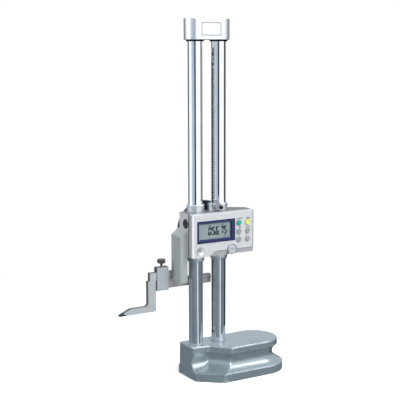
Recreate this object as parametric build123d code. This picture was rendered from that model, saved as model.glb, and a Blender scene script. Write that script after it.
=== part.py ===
from build123d import *
# A twin-column digital height gauge, modelled piece by piece in millimetres, +Z up.
#
# The origin is on the plane that the base stands on, midway between the two columns. The columns stand side
# by side along X, the display faces -Y and the scriber reaches out towards -X.
import os
from math import acos, ceil, cos, floor, pi, radians, sin, sqrt, tan

# ---------------------------------------------------------------- fits
SLIP = 0.02            # radial play of a piece that is pressed or glued in
RUNNING = 0.05         # radial play of a bearing or a sliding bush
FREE = 0.3             # play round a piece that must not touch

# ---------------------------------------------------------------- base
BASE_HEIGHT = 46.3
BASE_FLANGE = 11.0         # height of the flared bottom flange
BASE_SLAB = 9.3            # height of the slab over the finger groove
BASE_OVERHANG = 15.2       # from the left column's axis to the flat end
BASE_RIGHT = 112.8         # round end, from the origin towards +X
BASE_FRONT = 51.3          # front edge of the flange, from the columns' plane towards -Y
BASE_BACK = 25.6           # straight back edge of the flange
BASE_END_FRONT = 25.3      # where the flat end meets the slanted side
BASE_BACK_STEP = 3.6       # how far the back wall stands in from the flange
BASE_CORNER = 3.0          # rounding of the flat end's back corner
SLAB_INSET = 7.2           # how far the slab stands back from the flange
SLAB_ROUND = 2.8           # rounding of the slab's upper edge
GROOVE_INSET = 13.0        # how far the bottom of the finger groove stands back
POCKET_WALL = 9.0          # iron left round the hollow under the base
POCKET_DEPTH = 24.0

# ---------------------------------------------------------------- columns and cap
COLUMN_RADIUS = 10.0
COLUMN_SPACING = 37.4
COLUMN_FOOT = 16.0         # lower end of a column, inside the base
COLUMN_IN_CAP = 20.0       # length of a column held in the cap
CAP_BOTTOM = 470.5
CAP_HEIGHT = 28.7
CAP_WALL = 5.2             # metal of the cap round a column
STOP_THICKNESS = 2.0
FOOT_RING_WALL = 1.2
FOOT_RING_HEIGHT = 1.6
BOLT_RADIUS = 4.0
BOLT_HEAD_RADIUS = 6.5
BOLT_HEAD_HEIGHT = 8.0
CAP_SCREW_RADIUS = 3.0
CAP_SCREW_HEAD_RADIUS = 5.0
CAP_SCREW_HEAD_HEIGHT = 4.0

# ---------------------------------------------------------------- rack and pinion
MODULE = 0.7
PINION_TEETH = 18
BACKLASH = 0.12
RACK_WIDTH = 7.5
RACK_BOTTOM = 56.0
RACK_BELOW_CAP = 28.5      # from the cap down to the rack's upper end
RACK_LAND = 9.0            # plain length at each end, for a screw
RACK_BODY = 1.5            # steel behind the tooth roots
RACK_SCREW_HEAD = 1.2      # depth of the countersunk head
RACK_SCREW_SHANK = 5.0
RACK_SCREW_PAST = 1.05     # how far the hole goes on past the screw's end
KEEPER_LENGTH = 18.0
PINION_WIDTH = 6.8

# ---------------------------------------------------------------- slider
SLIDER_BOTTOM = 165.0      # lower end of the bushes with the slider at rest
SLIDER_HEIGHT = 80.5       # over the bushes
BODY_BOTTOM = 10.8         # casting and display case, above the lower bush ends
BODY_TOP = 70.5
BODY_OVERHANG = 20.9       # from the left column's axis to the left side
BODY_RIGHT = 60.3
BODY_BACK = 9.0
BODY_TAPER_X = 42.5        # where the back starts to slant forward
BODY_TAPER_Y = -3.0        # where the slant ends, on the right side
CASE_BACK = -16.0
CASE_FRONT = -28.0
CASE_WALL = 1.8
SHADOW_GAP = 0.5           # chamfer on each side of the joint between case and casting
BUSH_WALL = 2.33
BUSH_SEAT = 12.0           # length of a bush held in the casting
BORE_PLAY = 0.6            # room round a column between its bushes
PINION_HEIGHT = 42.0       # pinion axis above the lower bush ends

# ---------------------------------------------------------------- display
BEZEL_X = (-32.4, 28.4)
BEZEL_Z = (30.3, 60.9)     # above the lower bush ends, as are all heights on the display
GLASS_X = (-29.2, 21.8)
GLASS_Z = (35.3, 57.1)
BEZEL_PROUD = 0.6
BEZEL_DEPTH = 1.0
KEY_RADIUS = 3.5
KEY_COLUMNS = (34.9, 49.2)
KEY_ROWS = (53.8, 41.4, 30.4)
KEY_PROUD = 1.2
KEY_RIM = 0.8              # how far a key spreads behind the front wall
KEY_TRAVEL_GAP = 0.85
HOLD_X = 23.6
HOLD_Z = 18.4
HOLD_RADIUS = 5.9
HOLD_RING = 8.0            # round lobe of the case about the hold key
SOCKET_X = -27.4
SOCKET_Z = 19.6
SOCKET_DISH_RADIUS = 6.0
SOCKET_DISH_DEPTH = 1.5
SOCKET_RADIUS = 1.8
LIP_HEIGHT = 18.2          # lower edge of the raised front panel
LIP_LEFT = -13.7           # where the recess under the panel starts
LIP_STEP = 0.9             # depth of the recess at the panel's edge
LIP_DEPTH = 2.8            # and at the bottom of the case
BOARD_THICKNESS = 1.6
BOARD_FRONT = -21.0
CASE_SCREW_RADIUS = 1.5
CASE_HEAD_RADIUS = 2.8
CASE_HEAD_HEIGHT = 2.5
CASE_HEAD_SEAT = -8.0      # y of the seats of the case screws, deep in the casting
CASE_POST_RADIUS = 3.6
CASTING_POST_RADIUS = 2.9

# ---------------------------------------------------------------- battery
CELL_RADIUS = 5.8
CELL_THICKNESS = 5.4
BATTERY_CAP_RADIUS = 6.85
BATTERY_CAP_THICKNESS = 2.2
BATTERY_Y = -8.6
BATTERY_Z = 56.1
CONTACT_THICKNESS = 0.4

# ---------------------------------------------------------------- feed wheel
SHAFT_RADIUS = 3.0
BEARING_RADIUS = 5.2
PLATE_WIDTH = 16.0
PLATE_HEIGHT = 27.0
PLATE_THICKNESS = 2.2
ENCODER_RADIUS = 8.0
ENCODER_THICKNESS = 0.8
ENCODER_GAP = 0.8
WHEEL_RADIUS = 40.5
WHEEL_GAP = 5.0            # from the casting's back to the wheel
WHEEL_RIM_WIDTH = 7.5
WHEEL_RIM_DEPTH = 6.0
WHEEL_HUB_RADIUS = 9.0
WHEEL_HUB_LENGTH = 13.0
WHEEL_KNURLS = 90

# ---------------------------------------------------------------- slider clamp
CLAMP_ANGLE = 22.0         # of the clamp screw, round the right column from -Y towards -X
CLAMP_HEIGHT = 76.4        # above the lower bush ends
CLAMP_BOSS_RADIUS = 4.2
CLAMP_BOSS_REACH = 7.0     # how far the boss stands out from the column
CLAMP_SCREW_RADIUS = 2.0
LEVER_THICKNESS = 4.0
LEVER_LENGTH = 17.0
LEVER_TILT = 20.0          # the arm leans away from the bush
LEVER_ROLL = 38.0          # the arm leans to the left of upright

# ---------------------------------------------------------------- jaw arm, bar and scriber
ARM_THICKNESS = 10.9       # along X
ARM_FRONT = -13.5
ARM_LAP = 1.8              # how far the pillar overlaps the bar's front
ARM_BOTTOM = -25.5         # from the lower bush ends
ARM_TOP = 39.5             # at the outer side, where the slope starts
FOOT_LENGTH = 22.7
FOOT_WALL = 2.55           # metal of the foot behind the bar
FOOT_HEIGHT = 12.9
FLANGE_THICKNESS = 2.5
BAR_THICKNESS = 6.35
BAR_HEIGHT = 12.7
BAR_PLAY = 0.6             # between the columns and the bar
BAR_TOP = -23.0            # from the lower bush ends
BAR_REACH = 24.7           # how far the bar stands out beyond the arm
BAR_RIGHT = 12.3
BOX_LENGTH = 18.3
BOX_WALL = 1.6
BOX_FLOOR = 2.1
BOX_ROOF = 6.6
BOX_PLAY = 0.1
SHANK_HEIGHT = 11.3
SCRIBER_SHANK_RIGHT = 20.5  # from the bar's left end, as are the next five
SCRIBER_STEP = -10.3
SCRIBER_BACK = -1.1        # right side of the upright
SCRIBER_BEVEL = -39.6
SCRIBER_TIP = -56.9
SCRIBER_UPRIGHT = 12.1     # width of the upright
SCRIBER_ARM_BOTTOM = -66.6  # from the lower bush ends
SCRIBER_ARM_HEIGHT = 8.6
SCRIBER_NOSE = 1.0
CARBIDE_LENGTH = 10.5
CARBIDE_HEIGHT = 3.0
THUMB_RADIUS = 5.8
THUMB_HEIGHT = 5.6
THUMB_STEM = 1.5
THUMB_LIFT = 5.3           # head above the box

# ---------------------------------------------------------------- worked out from the above
LEFT = -COLUMN_SPACING / 2
RIGHT = COLUMN_SPACING / 2
BASE_END = RIGHT + BASE_OVERHANG
CAP_TOP = CAP_BOTTOM + CAP_HEIGHT
CAP_RADIUS = COLUMN_RADIUS + CAP_WALL
COLUMN_HEIGHT = CAP_BOTTOM + COLUMN_IN_CAP
FOOT_RING_RADIUS = COLUMN_RADIUS + FOOT_RING_WALL
BUSH_RADIUS = COLUMN_RADIUS + BUSH_WALL
BORE_RADIUS = COLUMN_RADIUS + BORE_PLAY
RACK_TOP = CAP_BOTTOM - RACK_BELOW_CAP
ADDENDUM = MODULE
DEDENDUM = 1.25 * MODULE
PITCH = pi * MODULE
PITCH_RADIUS = MODULE * PINION_TEETH / 2
RACK_TIP = sqrt(COLUMN_RADIUS ** 2 - (RACK_WIDTH / 2) ** 2) - SLIP   # from the right column's axis
RACK_DEEP = RACK_TIP - ADDENDUM - DEDENDUM - RACK_BODY
PINION_X = RIGHT - RACK_TIP + ADDENDUM - PITCH_RADIUS
PINION_Z = SLIDER_BOTTOM + PINION_HEIGHT
BODY_Z = (SLIDER_BOTTOM + BODY_BOTTOM, SLIDER_BOTTOM + BODY_TOP)
SLIDER_TOP = SLIDER_BOTTOM + SLIDER_HEIGHT
BODY_LEFT = RIGHT + BODY_OVERHANG   # from the origin towards -X
WHEEL_FRONT = BODY_BACK + WHEEL_GAP
CLAMP_BOSS_END = COLUMN_RADIUS + CLAMP_BOSS_REACH
BAR_FRONT = COLUMN_RADIUS + BAR_PLAY
BAR_BACK = BAR_FRONT + BAR_THICKNESS
BAR_Z = (SLIDER_BOTTOM + BAR_TOP - BAR_HEIGHT, SLIDER_BOTTOM + BAR_TOP)
ARM_LEFT = -BODY_LEFT - ARM_THICKNESS
ARM_BACK = BAR_FRONT + ARM_LAP
FOOT_BACK = BAR_BACK + FOOT_WALL
BAR_LEFT = ARM_LEFT - BAR_REACH
BOX_LEFT = BAR_LEFT + 0.2
BOX_MIDDLE = BOX_LEFT + BOX_LENGTH / 2
BAR_MIDDLE = BAR_FRONT + BAR_THICKNESS / 2
FRONT_WALL_BACK = CASE_FRONT + CASE_WALL
ENCODER_BACK = CASE_BACK - ENCODER_GAP


# ---------------------------------------------------------------- helpers
UPRIGHT = (Align.CENTER, Align.CENTER, Align.MIN)


def block(x, y, z):
    """A box between two values on each axis."""
    size = [max(pair) - min(pair) for pair in (x, y, z)]
    middle = [(pair[0] + pair[1]) / 2 for pair in (x, y, z)]
    return Pos(*middle) * Box(*size)


def rod_x(radius, x, y, z):
    """A cylinder along X between two values of x."""
    return Location((x[0], y, z), (0, 90, 0)) * Cylinder(radius, x[1] - x[0], align=UPRIGHT)


def rod_y(radius, x, y, z):
    """A cylinder along Y between two values of y."""
    return Location((x, y[0], z), (-90, 0, 0)) * Cylinder(radius, y[1] - y[0], align=UPRIGHT)


def rod_z(radius, x, y, z):
    """A cylinder along Z between two values of z."""
    return Pos(x, y, z[0]) * Cylinder(radius, z[1] - z[0], align=UPRIGHT)


def plate_xz(sketch, y):
    """A sketch in X and Z, made solid between two values of y."""
    return extrude(Plane.XZ.offset(-y[1]) * sketch, y[1] - y[0])


def plate_xy(sketch, z):
    """A sketch in X and Y, made solid between two values of z."""
    return extrude(Pos(0, 0, z[0]) * sketch, z[1] - z[0])


def polygon(points):
    """A sketch with straight sides through the points."""
    return make_face(Polyline(*points, close=True))


def edges_along(part, axis):
    """The straight edges of a part that run along an axis."""
    return part.edges().filter_by(GeomType.LINE).filter_by(axis)


def ring_z(outer, inner, x, y, z):
    """A ring round a vertical line."""
    return rod_z(outer, x, y, z) - rod_z(inner, x, y, (z[0] - 1, z[1] + 1))


def socket_screw(head_radius, head_height, radius, length, key_radius):
    """A socket-head screw on the Z axis: the head stands above z = 0 and the shank hangs below it."""
    head = rod_z(head_radius, 0, 0, (0, head_height))
    head = chamfer(head.edges().group_by(Axis.Z)[-1], head_height * 0.1)
    key = Pos(0, 0, head_height * 0.4) * extrude(RegularPolygon(key_radius, 6), head_height)
    return head - key + rod_z(radius, 0, 0, (-length, 0))


def countersunk_screw(head_radius, head_height, radius, length):
    """A countersunk screw on the Z axis: its flat head is at z = 0 and the shank hangs below it."""
    head = Pos(0, 0, -head_height) * Cone(radius, head_radius, head_height, align=UPRIGHT)
    slot = block((-head_radius, head_radius), (-0.4, 0.4), (-head_height * 0.4, 1))
    return head + rod_z(radius, 0, 0, (-length, -head_height)) - slot


# ---------------------------------------------------------------- the stand
def base_outline(inset, back_inset, end_inset, shoulder, knee, radii):
    """The plan of the base at one height: a flat end, a slant to the front, a round end, a straight back.

    The shoulder is where the flat end's short side turns into the slant, given from the end's front corner.
    The knee is where the slant meets the front, given along X from the flat end.
    """
    front = BASE_FRONT - inset
    back = BASE_BACK - back_inset
    radius = (front + back) / 2
    round_x = BASE_RIGHT - inset - radius
    corner = (-BASE_END, end_inset - BASE_END_FRONT)
    side = FilletPolyline(
        (-BASE_END, 0),
        corner,
        (corner[0] + shoulder[0], corner[1] - shoulder[1]),
        (-BASE_END + knee, -front),
        (round_x, -front),
        radius=radii,
    )
    end = CenterArc((round_x, back - radius), radius, -90, 180)
    rear = FilletPolyline((round_x, back), (-BASE_END, back), (-BASE_END, 0), radius=BASE_CORNER)
    return make_face(Wire(side.edges() + end.edges() + rear.edges()))


def base_section(level):
    """The plan at the flange, at the slab, or at the finger groove between them."""
    step = BASE_BACK_STEP
    plans = {
        "flange": (0.0, 0.0, 0.0, (6.0, 4.97), 31.4, (1.0, 9.0, 2.0)),
        "flare": (7.5, step, 7.4, (16.9, 2.3), 40.9, (2.0, 8.0, 5.0)),
        "groove": (GROOVE_INSET, step, 12.0, (26.4, 0.9), 48.9, (2.5, 7.0, 6.0)),
        "lip": (GROOVE_INSET - 3.0, step, 11.2, (26.4, 2.0), 48.5, (3.0, 7.0, 6.0)),
        "slab": (SLAB_INSET, step, 9.8, (27.0, 2.6), 47.9, (3.0, 7.0, 6.0)),
    }
    return base_outline(*plans[level])


def make_base():
    groove_top = BASE_HEIGHT - BASE_SLAB
    groove_height = groove_top - BASE_FLANGE
    heights = {
        "flange": BASE_FLANGE,
        "flare": BASE_FLANGE + 0.18 * groove_height,
        "groove": BASE_FLANGE + 0.5 * groove_height,
        "lip": BASE_FLANGE + 0.88 * groove_height,
        "slab": groove_top,
    }
    flange = plate_xy(base_section("flange"), (0, BASE_FLANGE))
    slab = plate_xy(base_section("slab"), (groove_top, BASE_HEIGHT))
    slab = fillet(slab.edges().group_by(Axis.Z)[-1], SLAB_ROUND)
    waist = loft([Pos(0, 0, height) * base_section(level) for level, height in heights.items()])
    base = flange + waist + slab
    base -= base_pocket()
    for x in (LEFT, RIGHT):
        base -= rod_z(COLUMN_RADIUS + SLIP, x, 0, (COLUMN_FOOT, BASE_HEIGHT + 1))
        base -= rod_z(BOLT_RADIUS + SLIP, x, 0, (-1, COLUMN_FOOT + 1))
        base -= rod_z(BOLT_HEAD_RADIUS + FREE, x, 0, (-1, BOLT_HEAD_HEIGHT + 1.5))
    return base


def base_pocket():
    """The hollow under the base, which keeps a wall inside the finger groove and the back."""
    front = BASE_FRONT - GROOVE_INSET - POCKET_WALL
    back = BASE_BACK - BASE_BACK_STEP - POCKET_WALL
    radius = (front + back) / 2
    round_x = BASE_RIGHT - GROOVE_INSET - POCKET_WALL - radius
    left = RIGHT + COLUMN_RADIUS + POCKET_WALL
    pocket = block((left, round_x), (-front, back), (-1, POCKET_DEPTH))
    return pocket + rod_z(radius, round_x, back - radius, (-1, POCKET_DEPTH))


def make_column(x):
    column = rod_z(COLUMN_RADIUS, x, 0, (COLUMN_FOOT, COLUMN_HEIGHT))
    column = chamfer(column.edges(), 0.8)
    column -= rod_z(BOLT_RADIUS + SLIP, x, 0, (COLUMN_FOOT - 1, COLUMN_FOOT + 20))
    column -= rod_z(CAP_SCREW_RADIUS + SLIP, x, 0, (COLUMN_HEIGHT - 20, COLUMN_HEIGHT + 1))
    return column


def make_column_right():
    column = make_column(RIGHT)
    half = RACK_WIDTH / 2 + SLIP
    groove = block((-COLUMN_RADIUS - 1, -RACK_DEEP), (-half, half), (RACK_BOTTOM, RACK_TOP + KEEPER_LENGTH))
    column -= Pos(RIGHT, 0, 0) * groove
    screw_end = RIGHT - RACK_TIP + RACK_SCREW_HEAD + RACK_SCREW_SHANK
    for z in rack_screw_heights():
        column -= rod_x(1.0 + SLIP, (RIGHT - RACK_DEEP - 1, screw_end + RACK_SCREW_PAST), 0, z)
    return column


def rack_screw_heights():
    """Heights of the screws that hold the rack and its keeper."""
    return (RACK_BOTTOM + RACK_LAND / 2, RACK_TOP - RACK_LAND / 2, RACK_TOP + KEEPER_LENGTH / 2)


def make_rack():
    """A straight rack whose tooth spaces are trapezia with 20 degree flanks."""
    half_top = PITCH / 4 + BACKLASH / 4 + ADDENDUM * tan(radians(20))
    half_root = PITCH / 4 + BACKLASH / 4 - DEDENDUM * tan(radians(20))
    tip = RIGHT - RACK_TIP
    root = tip + ADDENDUM + DEDENDUM
    first = ceil((RACK_BOTTOM + RACK_LAND - PINION_Z) / PITCH)
    last = floor((RACK_TOP - RACK_LAND - PINION_Z) / PITCH)
    outline = [(RIGHT - RACK_DEEP, RACK_BOTTOM), (tip, RACK_BOTTOM)]
    for count in range(first, last + 1):
        middle = PINION_Z + count * PITCH
        outline += [(tip, middle - half_top), (root, middle - half_root)]
        outline += [(root, middle + half_root), (tip, middle + half_top)]
    outline += [(tip, RACK_TOP), (RIGHT - RACK_DEEP, RACK_TOP)]
    rack = plate_xz(polygon(outline), (-RACK_WIDTH / 2, RACK_WIDTH / 2))
    for z in rack_screw_heights()[:2]:
        rack -= rack_screw_at(z, SLIP)
    return rack


def make_rack_keeper():
    """The plain block above the rack that closes the groove."""
    tip = RIGHT - RACK_TIP
    z = (RACK_TOP, RACK_TOP + KEEPER_LENGTH)
    keeper = block((tip, RIGHT - RACK_DEEP), (-RACK_WIDTH / 2, RACK_WIDTH / 2), z)
    return keeper - rack_screw_at(rack_screw_heights()[2], SLIP)


def rack_screw_at(z, play):
    """A countersunk screw across the rack, or the hole for it when there is play."""
    head = Cone(1.0 + play, 2.2 + play, RACK_SCREW_HEAD, align=UPRIGHT)
    shank = rod_z(1.0 + play, 0, 0, (-RACK_SCREW_SHANK, 0.01))
    return Location((RIGHT - RACK_TIP + RACK_SCREW_HEAD, 0, z), (0, -90, 0)) * (head + shank)


def make_top_cap():
    cap = plate_xy(SlotCenterToCenter(COLUMN_SPACING, 2 * CAP_RADIUS), (CAP_BOTTOM, CAP_TOP))
    cap = fillet(cap.edges().group_by(Axis.Z)[-1] + cap.edges().group_by(Axis.Z)[0], 0.8)
    for x in (LEFT, RIGHT):
        cap -= rod_z(COLUMN_RADIUS + SLIP, x, 0, (CAP_BOTTOM - 1, COLUMN_HEIGHT))
        cap -= rod_z(CAP_SCREW_RADIUS + SLIP, x, 0, (COLUMN_HEIGHT - 1, CAP_TOP + 1))
        seat = CAP_TOP - CAP_SCREW_HEAD_HEIGHT - 0.7
        cap -= rod_z(CAP_SCREW_HEAD_RADIUS + FREE, x, 0, (seat, CAP_TOP + 1))
    return cap


def make_cap_screws():
    seat = CAP_TOP - CAP_SCREW_HEAD_HEIGHT - 0.7
    screw = socket_screw(CAP_SCREW_HEAD_RADIUS, CAP_SCREW_HEAD_HEIGHT, CAP_SCREW_RADIUS, 18.0, 2.9)
    return [Pos(x, 0, seat) * screw for x in (LEFT, RIGHT)]


def make_column_bolts():
    seat = BOLT_HEAD_HEIGHT + 1.5
    bolt = socket_screw(BOLT_HEAD_RADIUS, BOLT_HEAD_HEIGHT, BOLT_RADIUS, 24.0, 3.4)
    return [Location((x, 0, seat), (180, 0, 0)) * bolt for x in (LEFT, RIGHT)]


def make_foot_rings():
    z = (BASE_HEIGHT, BASE_HEIGHT + FOOT_RING_HEIGHT)
    return [ring_z(FOOT_RING_RADIUS, COLUMN_RADIUS + SLIP, x, 0, z) for x in (LEFT, RIGHT)]


def make_stop_rings():
    z = (CAP_BOTTOM - STOP_THICKNESS, CAP_BOTTOM)
    return [ring_z(BUSH_RADIUS, COLUMN_RADIUS + SLIP, x, 0, z) for x in (LEFT, RIGHT)]


# ---------------------------------------------------------------- the slider casting and its bushes
def case_screw_places():
    """X and Z of the screws that hold the display case to the casting."""
    inset = 5.0
    x = (-BODY_LEFT + inset, BODY_RIGHT - inset)
    z = (BODY_Z[0] + inset, BODY_Z[1] - inset)
    return [(a, b) for a in x for b in z]


def make_casting():
    plan = polygon([
        (-BODY_LEFT, CASE_BACK),
        (BODY_RIGHT, CASE_BACK),
        (BODY_RIGHT, BODY_TAPER_Y),
        (BODY_TAPER_X, BODY_BACK),
        (-BODY_LEFT, BODY_BACK),
    ])
    casting = plate_xy(plan, BODY_Z)
    slanted = [e for e in edges_along(casting, Axis.Z) if e.center().Y > CASE_BACK + 1]
    casting = fillet([e for e in slanted if e.center().X > 0], 3.0)
    casting = fillet(edges_along(casting, Axis.Z).sort_by(Axis.X)[:2].sort_by(Axis.Y)[-1], 0.8)
    casting = chamfer(casting.edges().group_by(Axis.Y)[0], SHADOW_GAP)
    for x in (LEFT, RIGHT):
        casting -= rod_z(BORE_RADIUS, x, 0, (BODY_Z[0] - 1, BODY_Z[1] + 1))
        casting -= rod_z(BUSH_RADIUS + SLIP, x, 0, (BODY_Z[0] - 1, BODY_Z[0] + BUSH_SEAT))
        casting -= rod_z(BUSH_RADIUS + SLIP, x, 0, (BODY_Z[1] - BUSH_SEAT, BODY_Z[1] + 1))

    pinion_room = PITCH_RADIUS + ADDENDUM + 0.6
    casting -= rod_y(pinion_room, PINION_X, (-PINION_WIDTH / 2 - 0.8, BODY_BACK + 1), PINION_Z)
    casting -= rod_y(BEARING_RADIUS + SLIP, PINION_X, (CASE_BACK - 1, -PINION_WIDTH / 2), PINION_Z)
    battery_depth = BATTERY_CAP_THICKNESS + CELL_THICKNESS + CONTACT_THICKNESS
    battery_x = (-BODY_LEFT - 1, -BODY_LEFT + battery_depth)
    casting -= rod_x(BATTERY_CAP_RADIUS + RUNNING, battery_x, BATTERY_Y, SLIDER_BOTTOM + BATTERY_Z)
    for x, z in case_screw_places():
        casting += rod_y(CASTING_POST_RADIUS, x, (BOARD_FRONT + BOARD_THICKNESS, CASE_BACK + 1), z)
        casting -= rod_y(CASE_SCREW_RADIUS + SLIP, x, (BOARD_FRONT - 1, BODY_BACK + 1), z)
        casting -= rod_y(CASE_HEAD_RADIUS + FREE, x, (CASE_HEAD_SEAT, BODY_BACK + 1), z)
    for x, z in arm_screw_places():
        casting -= rod_y(1.5 + SLIP, x, (BODY_BACK - 7, BODY_BACK + 1), z)
    for x, z in plate_screw_places():
        casting -= rod_y(1.0 + SLIP, x, (BODY_BACK - 3.5, BODY_BACK + 1), z)
    return casting


def bush_bottom(x):
    """A lower bush with a long lead-in cone at its lower end."""
    z = (SLIDER_BOTTOM, BODY_Z[0] + BUSH_SEAT)
    bush = rod_z(BUSH_RADIUS, x, 0, z)
    bush = chamfer(bush.edges().group_by(Axis.Z)[0], 3.5, 1.5)
    return bush - rod_z(COLUMN_RADIUS + RUNNING, x, 0, (z[0] - 1, z[1] + 1))


def bush_top(x):
    """An upper bush with a small chamfer at its upper end."""
    z = (BODY_Z[1] - BUSH_SEAT, SLIDER_TOP)
    bush = rod_z(BUSH_RADIUS, x, 0, z)
    bush = chamfer(bush.edges().group_by(Axis.Z)[-1], 0.7)
    return bush - rod_z(COLUMN_RADIUS + RUNNING, x, 0, (z[0] - 1, z[1] + 1))


def clamp_frame():
    """A location on the right column's axis at the clamp's height; its Z runs out along the clamp screw."""
    outward = (-sin(radians(CLAMP_ANGLE)), -cos(radians(CLAMP_ANGLE)), 0)
    sideways = (cos(radians(CLAMP_ANGLE)), -sin(radians(CLAMP_ANGLE)), 0)
    return Plane(origin=(RIGHT, 0, SLIDER_BOTTOM + CLAMP_HEIGHT), x_dir=sideways, z_dir=outward).location


def make_bush_upper_right():
    """The bush that carries the clamp: a boss for the clamp screw and a slit lug between the columns."""
    bush = bush_top(RIGHT)
    boss = clamp_frame() * rod_z(CLAMP_BOSS_RADIUS, 0, 0, (COLUMN_RADIUS + 1, CLAMP_BOSS_END))
    lug_z = (BODY_Z[1], SLIDER_TOP + 0.8)
    lug = block((RIGHT - COLUMN_RADIUS - 10.5, RIGHT - COLUMN_RADIUS - 1.0), (-9.0, -2.5), lug_z)
    lug = chamfer(edges_along(lug, Axis.Z), 0.8)
    slit = block((RIGHT - 15.4, RIGHT - 14.2), (-10, -1), (lug_z[0] + 2.0, lug_z[1] + 1))
    room = rod_z(COLUMN_RADIUS + RUNNING, RIGHT, 0, (BODY_Z[1] - BUSH_SEAT - 1, SLIDER_TOP + 2))
    hole = clamp_frame() * rod_z(CLAMP_SCREW_RADIUS + RUNNING, 0, 0, (COLUMN_RADIUS, CLAMP_BOSS_END + 1))
    return bush + boss + (lug - slit) - room - hole


def make_clamp_pad():
    """The brass pad between the clamp screw and the column."""
    pad = rod_z(CLAMP_SCREW_RADIUS, 0, 0, (COLUMN_RADIUS, COLUMN_RADIUS + 2.0))
    pad = clamp_frame() * pad
    return pad - rod_z(COLUMN_RADIUS + RUNNING, RIGHT, 0, (SLIDER_BOTTOM, SLIDER_TOP))


def make_clamp_screw():
    screw = rod_z(CLAMP_SCREW_RADIUS, 0, 0, (COLUMN_RADIUS + 2.2, CLAMP_BOSS_END + LEVER_THICKNESS + 0.6))
    under_head = CLAMP_BOSS_END + LEVER_THICKNESS
    head = rod_z(2.9, 0, 0, (under_head + 0.1, under_head + 1.9))
    key = Pos(0, 0, CLAMP_BOSS_END + LEVER_THICKNESS) * extrude(RegularPolygon(1.5, 6), 3)
    return clamp_frame() * (screw + head - key)


def make_clamp_lever():
    """A flat lever: a round hub on the clamp screw and an arm that leans away from the bush."""
    z = (CLAMP_BOSS_END + 0.1, CLAMP_BOSS_END + 0.1 + LEVER_THICKNESS)
    hub = rod_z(CLAMP_BOSS_RADIUS, 0, 0, z)
    arm = Pos(0, 0, z[0]) * extrude(make_hull(lever_arm_circles()), LEVER_THICKNESS * 0.8)
    arm = tilt_arm(arm, z[0])
    lever = hub + (arm - rod_z(CLAMP_BOSS_RADIUS - 0.5, 0, 0, (0, 60)))
    lever -= rod_z(CLAMP_SCREW_RADIUS + SLIP, 0, 0, (0, 60))
    return clamp_frame() * Rot(0, 0, LEVER_ROLL) * lever


def lever_arm_circles():
    """The two circles whose hull is the lever's arm, narrower at its tip."""
    return (Circle(3.0) + Pos(0, LEVER_LENGTH - 2.4) * Circle(2.4)).edges()


def tilt_arm(arm, height):
    """The arm turned about the hub's near face, so its tip stands away from the bush."""
    return Pos(0, 0, height) * Rot(LEVER_TILT, 0, 0) * Pos(0, 0, -height) * arm


# ---------------------------------------------------------------- the display
def display_z(height):
    """The height above the stand of a height given from the lower bush ends."""
    return SLIDER_BOTTOM + height


def front_outline(inset=0.0):
    """The display case seen from the front, or a smaller rectangle inside it."""
    x = grown((-BODY_LEFT, BODY_RIGHT), -inset)
    z = (BODY_Z[0] + inset, BODY_Z[1] - inset)
    return polygon([(x[0], z[0]), (x[1], z[0]), (x[1], z[1]), (x[0], z[1])])


def make_display_case():
    case = plate_xz(front_outline(), (CASE_FRONT, CASE_BACK))
    corners = [e for e in edges_along(case, Axis.Z) if e.center().Y < CASE_BACK - 1]
    case = fillet(corners, 3.0)
    case = fillet(case.edges().group_by(Axis.Y)[0].sort_by(Axis.Z)[-1], 1.0)
    case = chamfer(case.edges().group_by(Axis.Y)[-1], SHADOW_GAP)
    case -= plate_xz(front_outline(CASE_WALL), (FRONT_WALL_BACK, CASE_BACK + 1))
    for x, z in case_screw_places():
        case += rod_y(CASE_POST_RADIUS, x, (FRONT_WALL_BACK - 0.2, BOARD_FRONT), z)
        case -= rod_y(CASE_SCREW_RADIUS + SLIP, x, (FRONT_WALL_BACK, CASE_BACK), z)

    hold_z = display_z(HOLD_Z)
    rib_back = CASE_FRONT + LIP_DEPTH + CASE_WALL
    rib_z = (BODY_Z[0] + 1, rib_top())
    rib = block((LIP_LEFT - CASE_WALL, BODY_RIGHT - 1), (FRONT_WALL_BACK - 0.2, rib_back), rib_z)
    lobe = rod_y(HOLD_RING, HOLD_X, (CASE_FRONT - 0.5, BOARD_FRONT - 0.3), hold_z)
    case += rib + lobe
    case -= lower_facet()
    for x, z in case_screw_places():
        case -= rod_y(CASE_SCREW_RADIUS + SLIP, x, (rib_back - 1.0, CASE_BACK), z)
    case -= rod_y(HOLD_RADIUS + FREE, HOLD_X, (CASE_FRONT - 1, CASE_BACK), hold_z)
    case -= rod_y(HOLD_RADIUS + KEY_RIM + FREE, HOLD_X, (FRONT_WALL_BACK, CASE_BACK), hold_z)

    case -= block(grown(BEZEL_X, SLIP), (CASE_FRONT - 1, CASE_FRONT + BEZEL_DEPTH), lifted(BEZEL_Z, SLIP))
    case -= block(grown(GLASS_X, 1.2), (CASE_FRONT - 1, CASE_BACK), lifted(GLASS_Z, 1.2))
    for x, z in key_places():
        case -= rod_y(KEY_RADIUS + FREE, x, (CASE_FRONT - 1, FRONT_WALL_BACK + 1), z)
        case -= rod_y(KEY_RADIUS + 1.2, x, (CASE_FRONT - 1, CASE_FRONT + 0.5), z)

    socket_z = display_z(SOCKET_Z)
    dish = (SOCKET_DISH_RADIUS ** 2 + SOCKET_DISH_DEPTH ** 2) / (2 * SOCKET_DISH_DEPTH)
    case -= Pos(SOCKET_X, CASE_FRONT + SOCKET_DISH_DEPTH - dish, socket_z) * Sphere(dish)
    case -= rod_y(SOCKET_RADIUS + SLIP, SOCKET_X, (CASE_FRONT - 1, FRONT_WALL_BACK + 1), socket_z)
    return case


def rib_top():
    """The top of the thicker wall behind the recess."""
    return display_z(LIP_HEIGHT) + CASE_WALL


def grown(span, play):
    """A span of x made longer by some play at both ends."""
    return (span[0] - play, span[1] + play)


def lifted(span, play):
    """A span of heights on the display, in the frame of the stand, with some play at both ends."""
    return (display_z(span[0]) - play, display_z(span[1]) + play)


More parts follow.
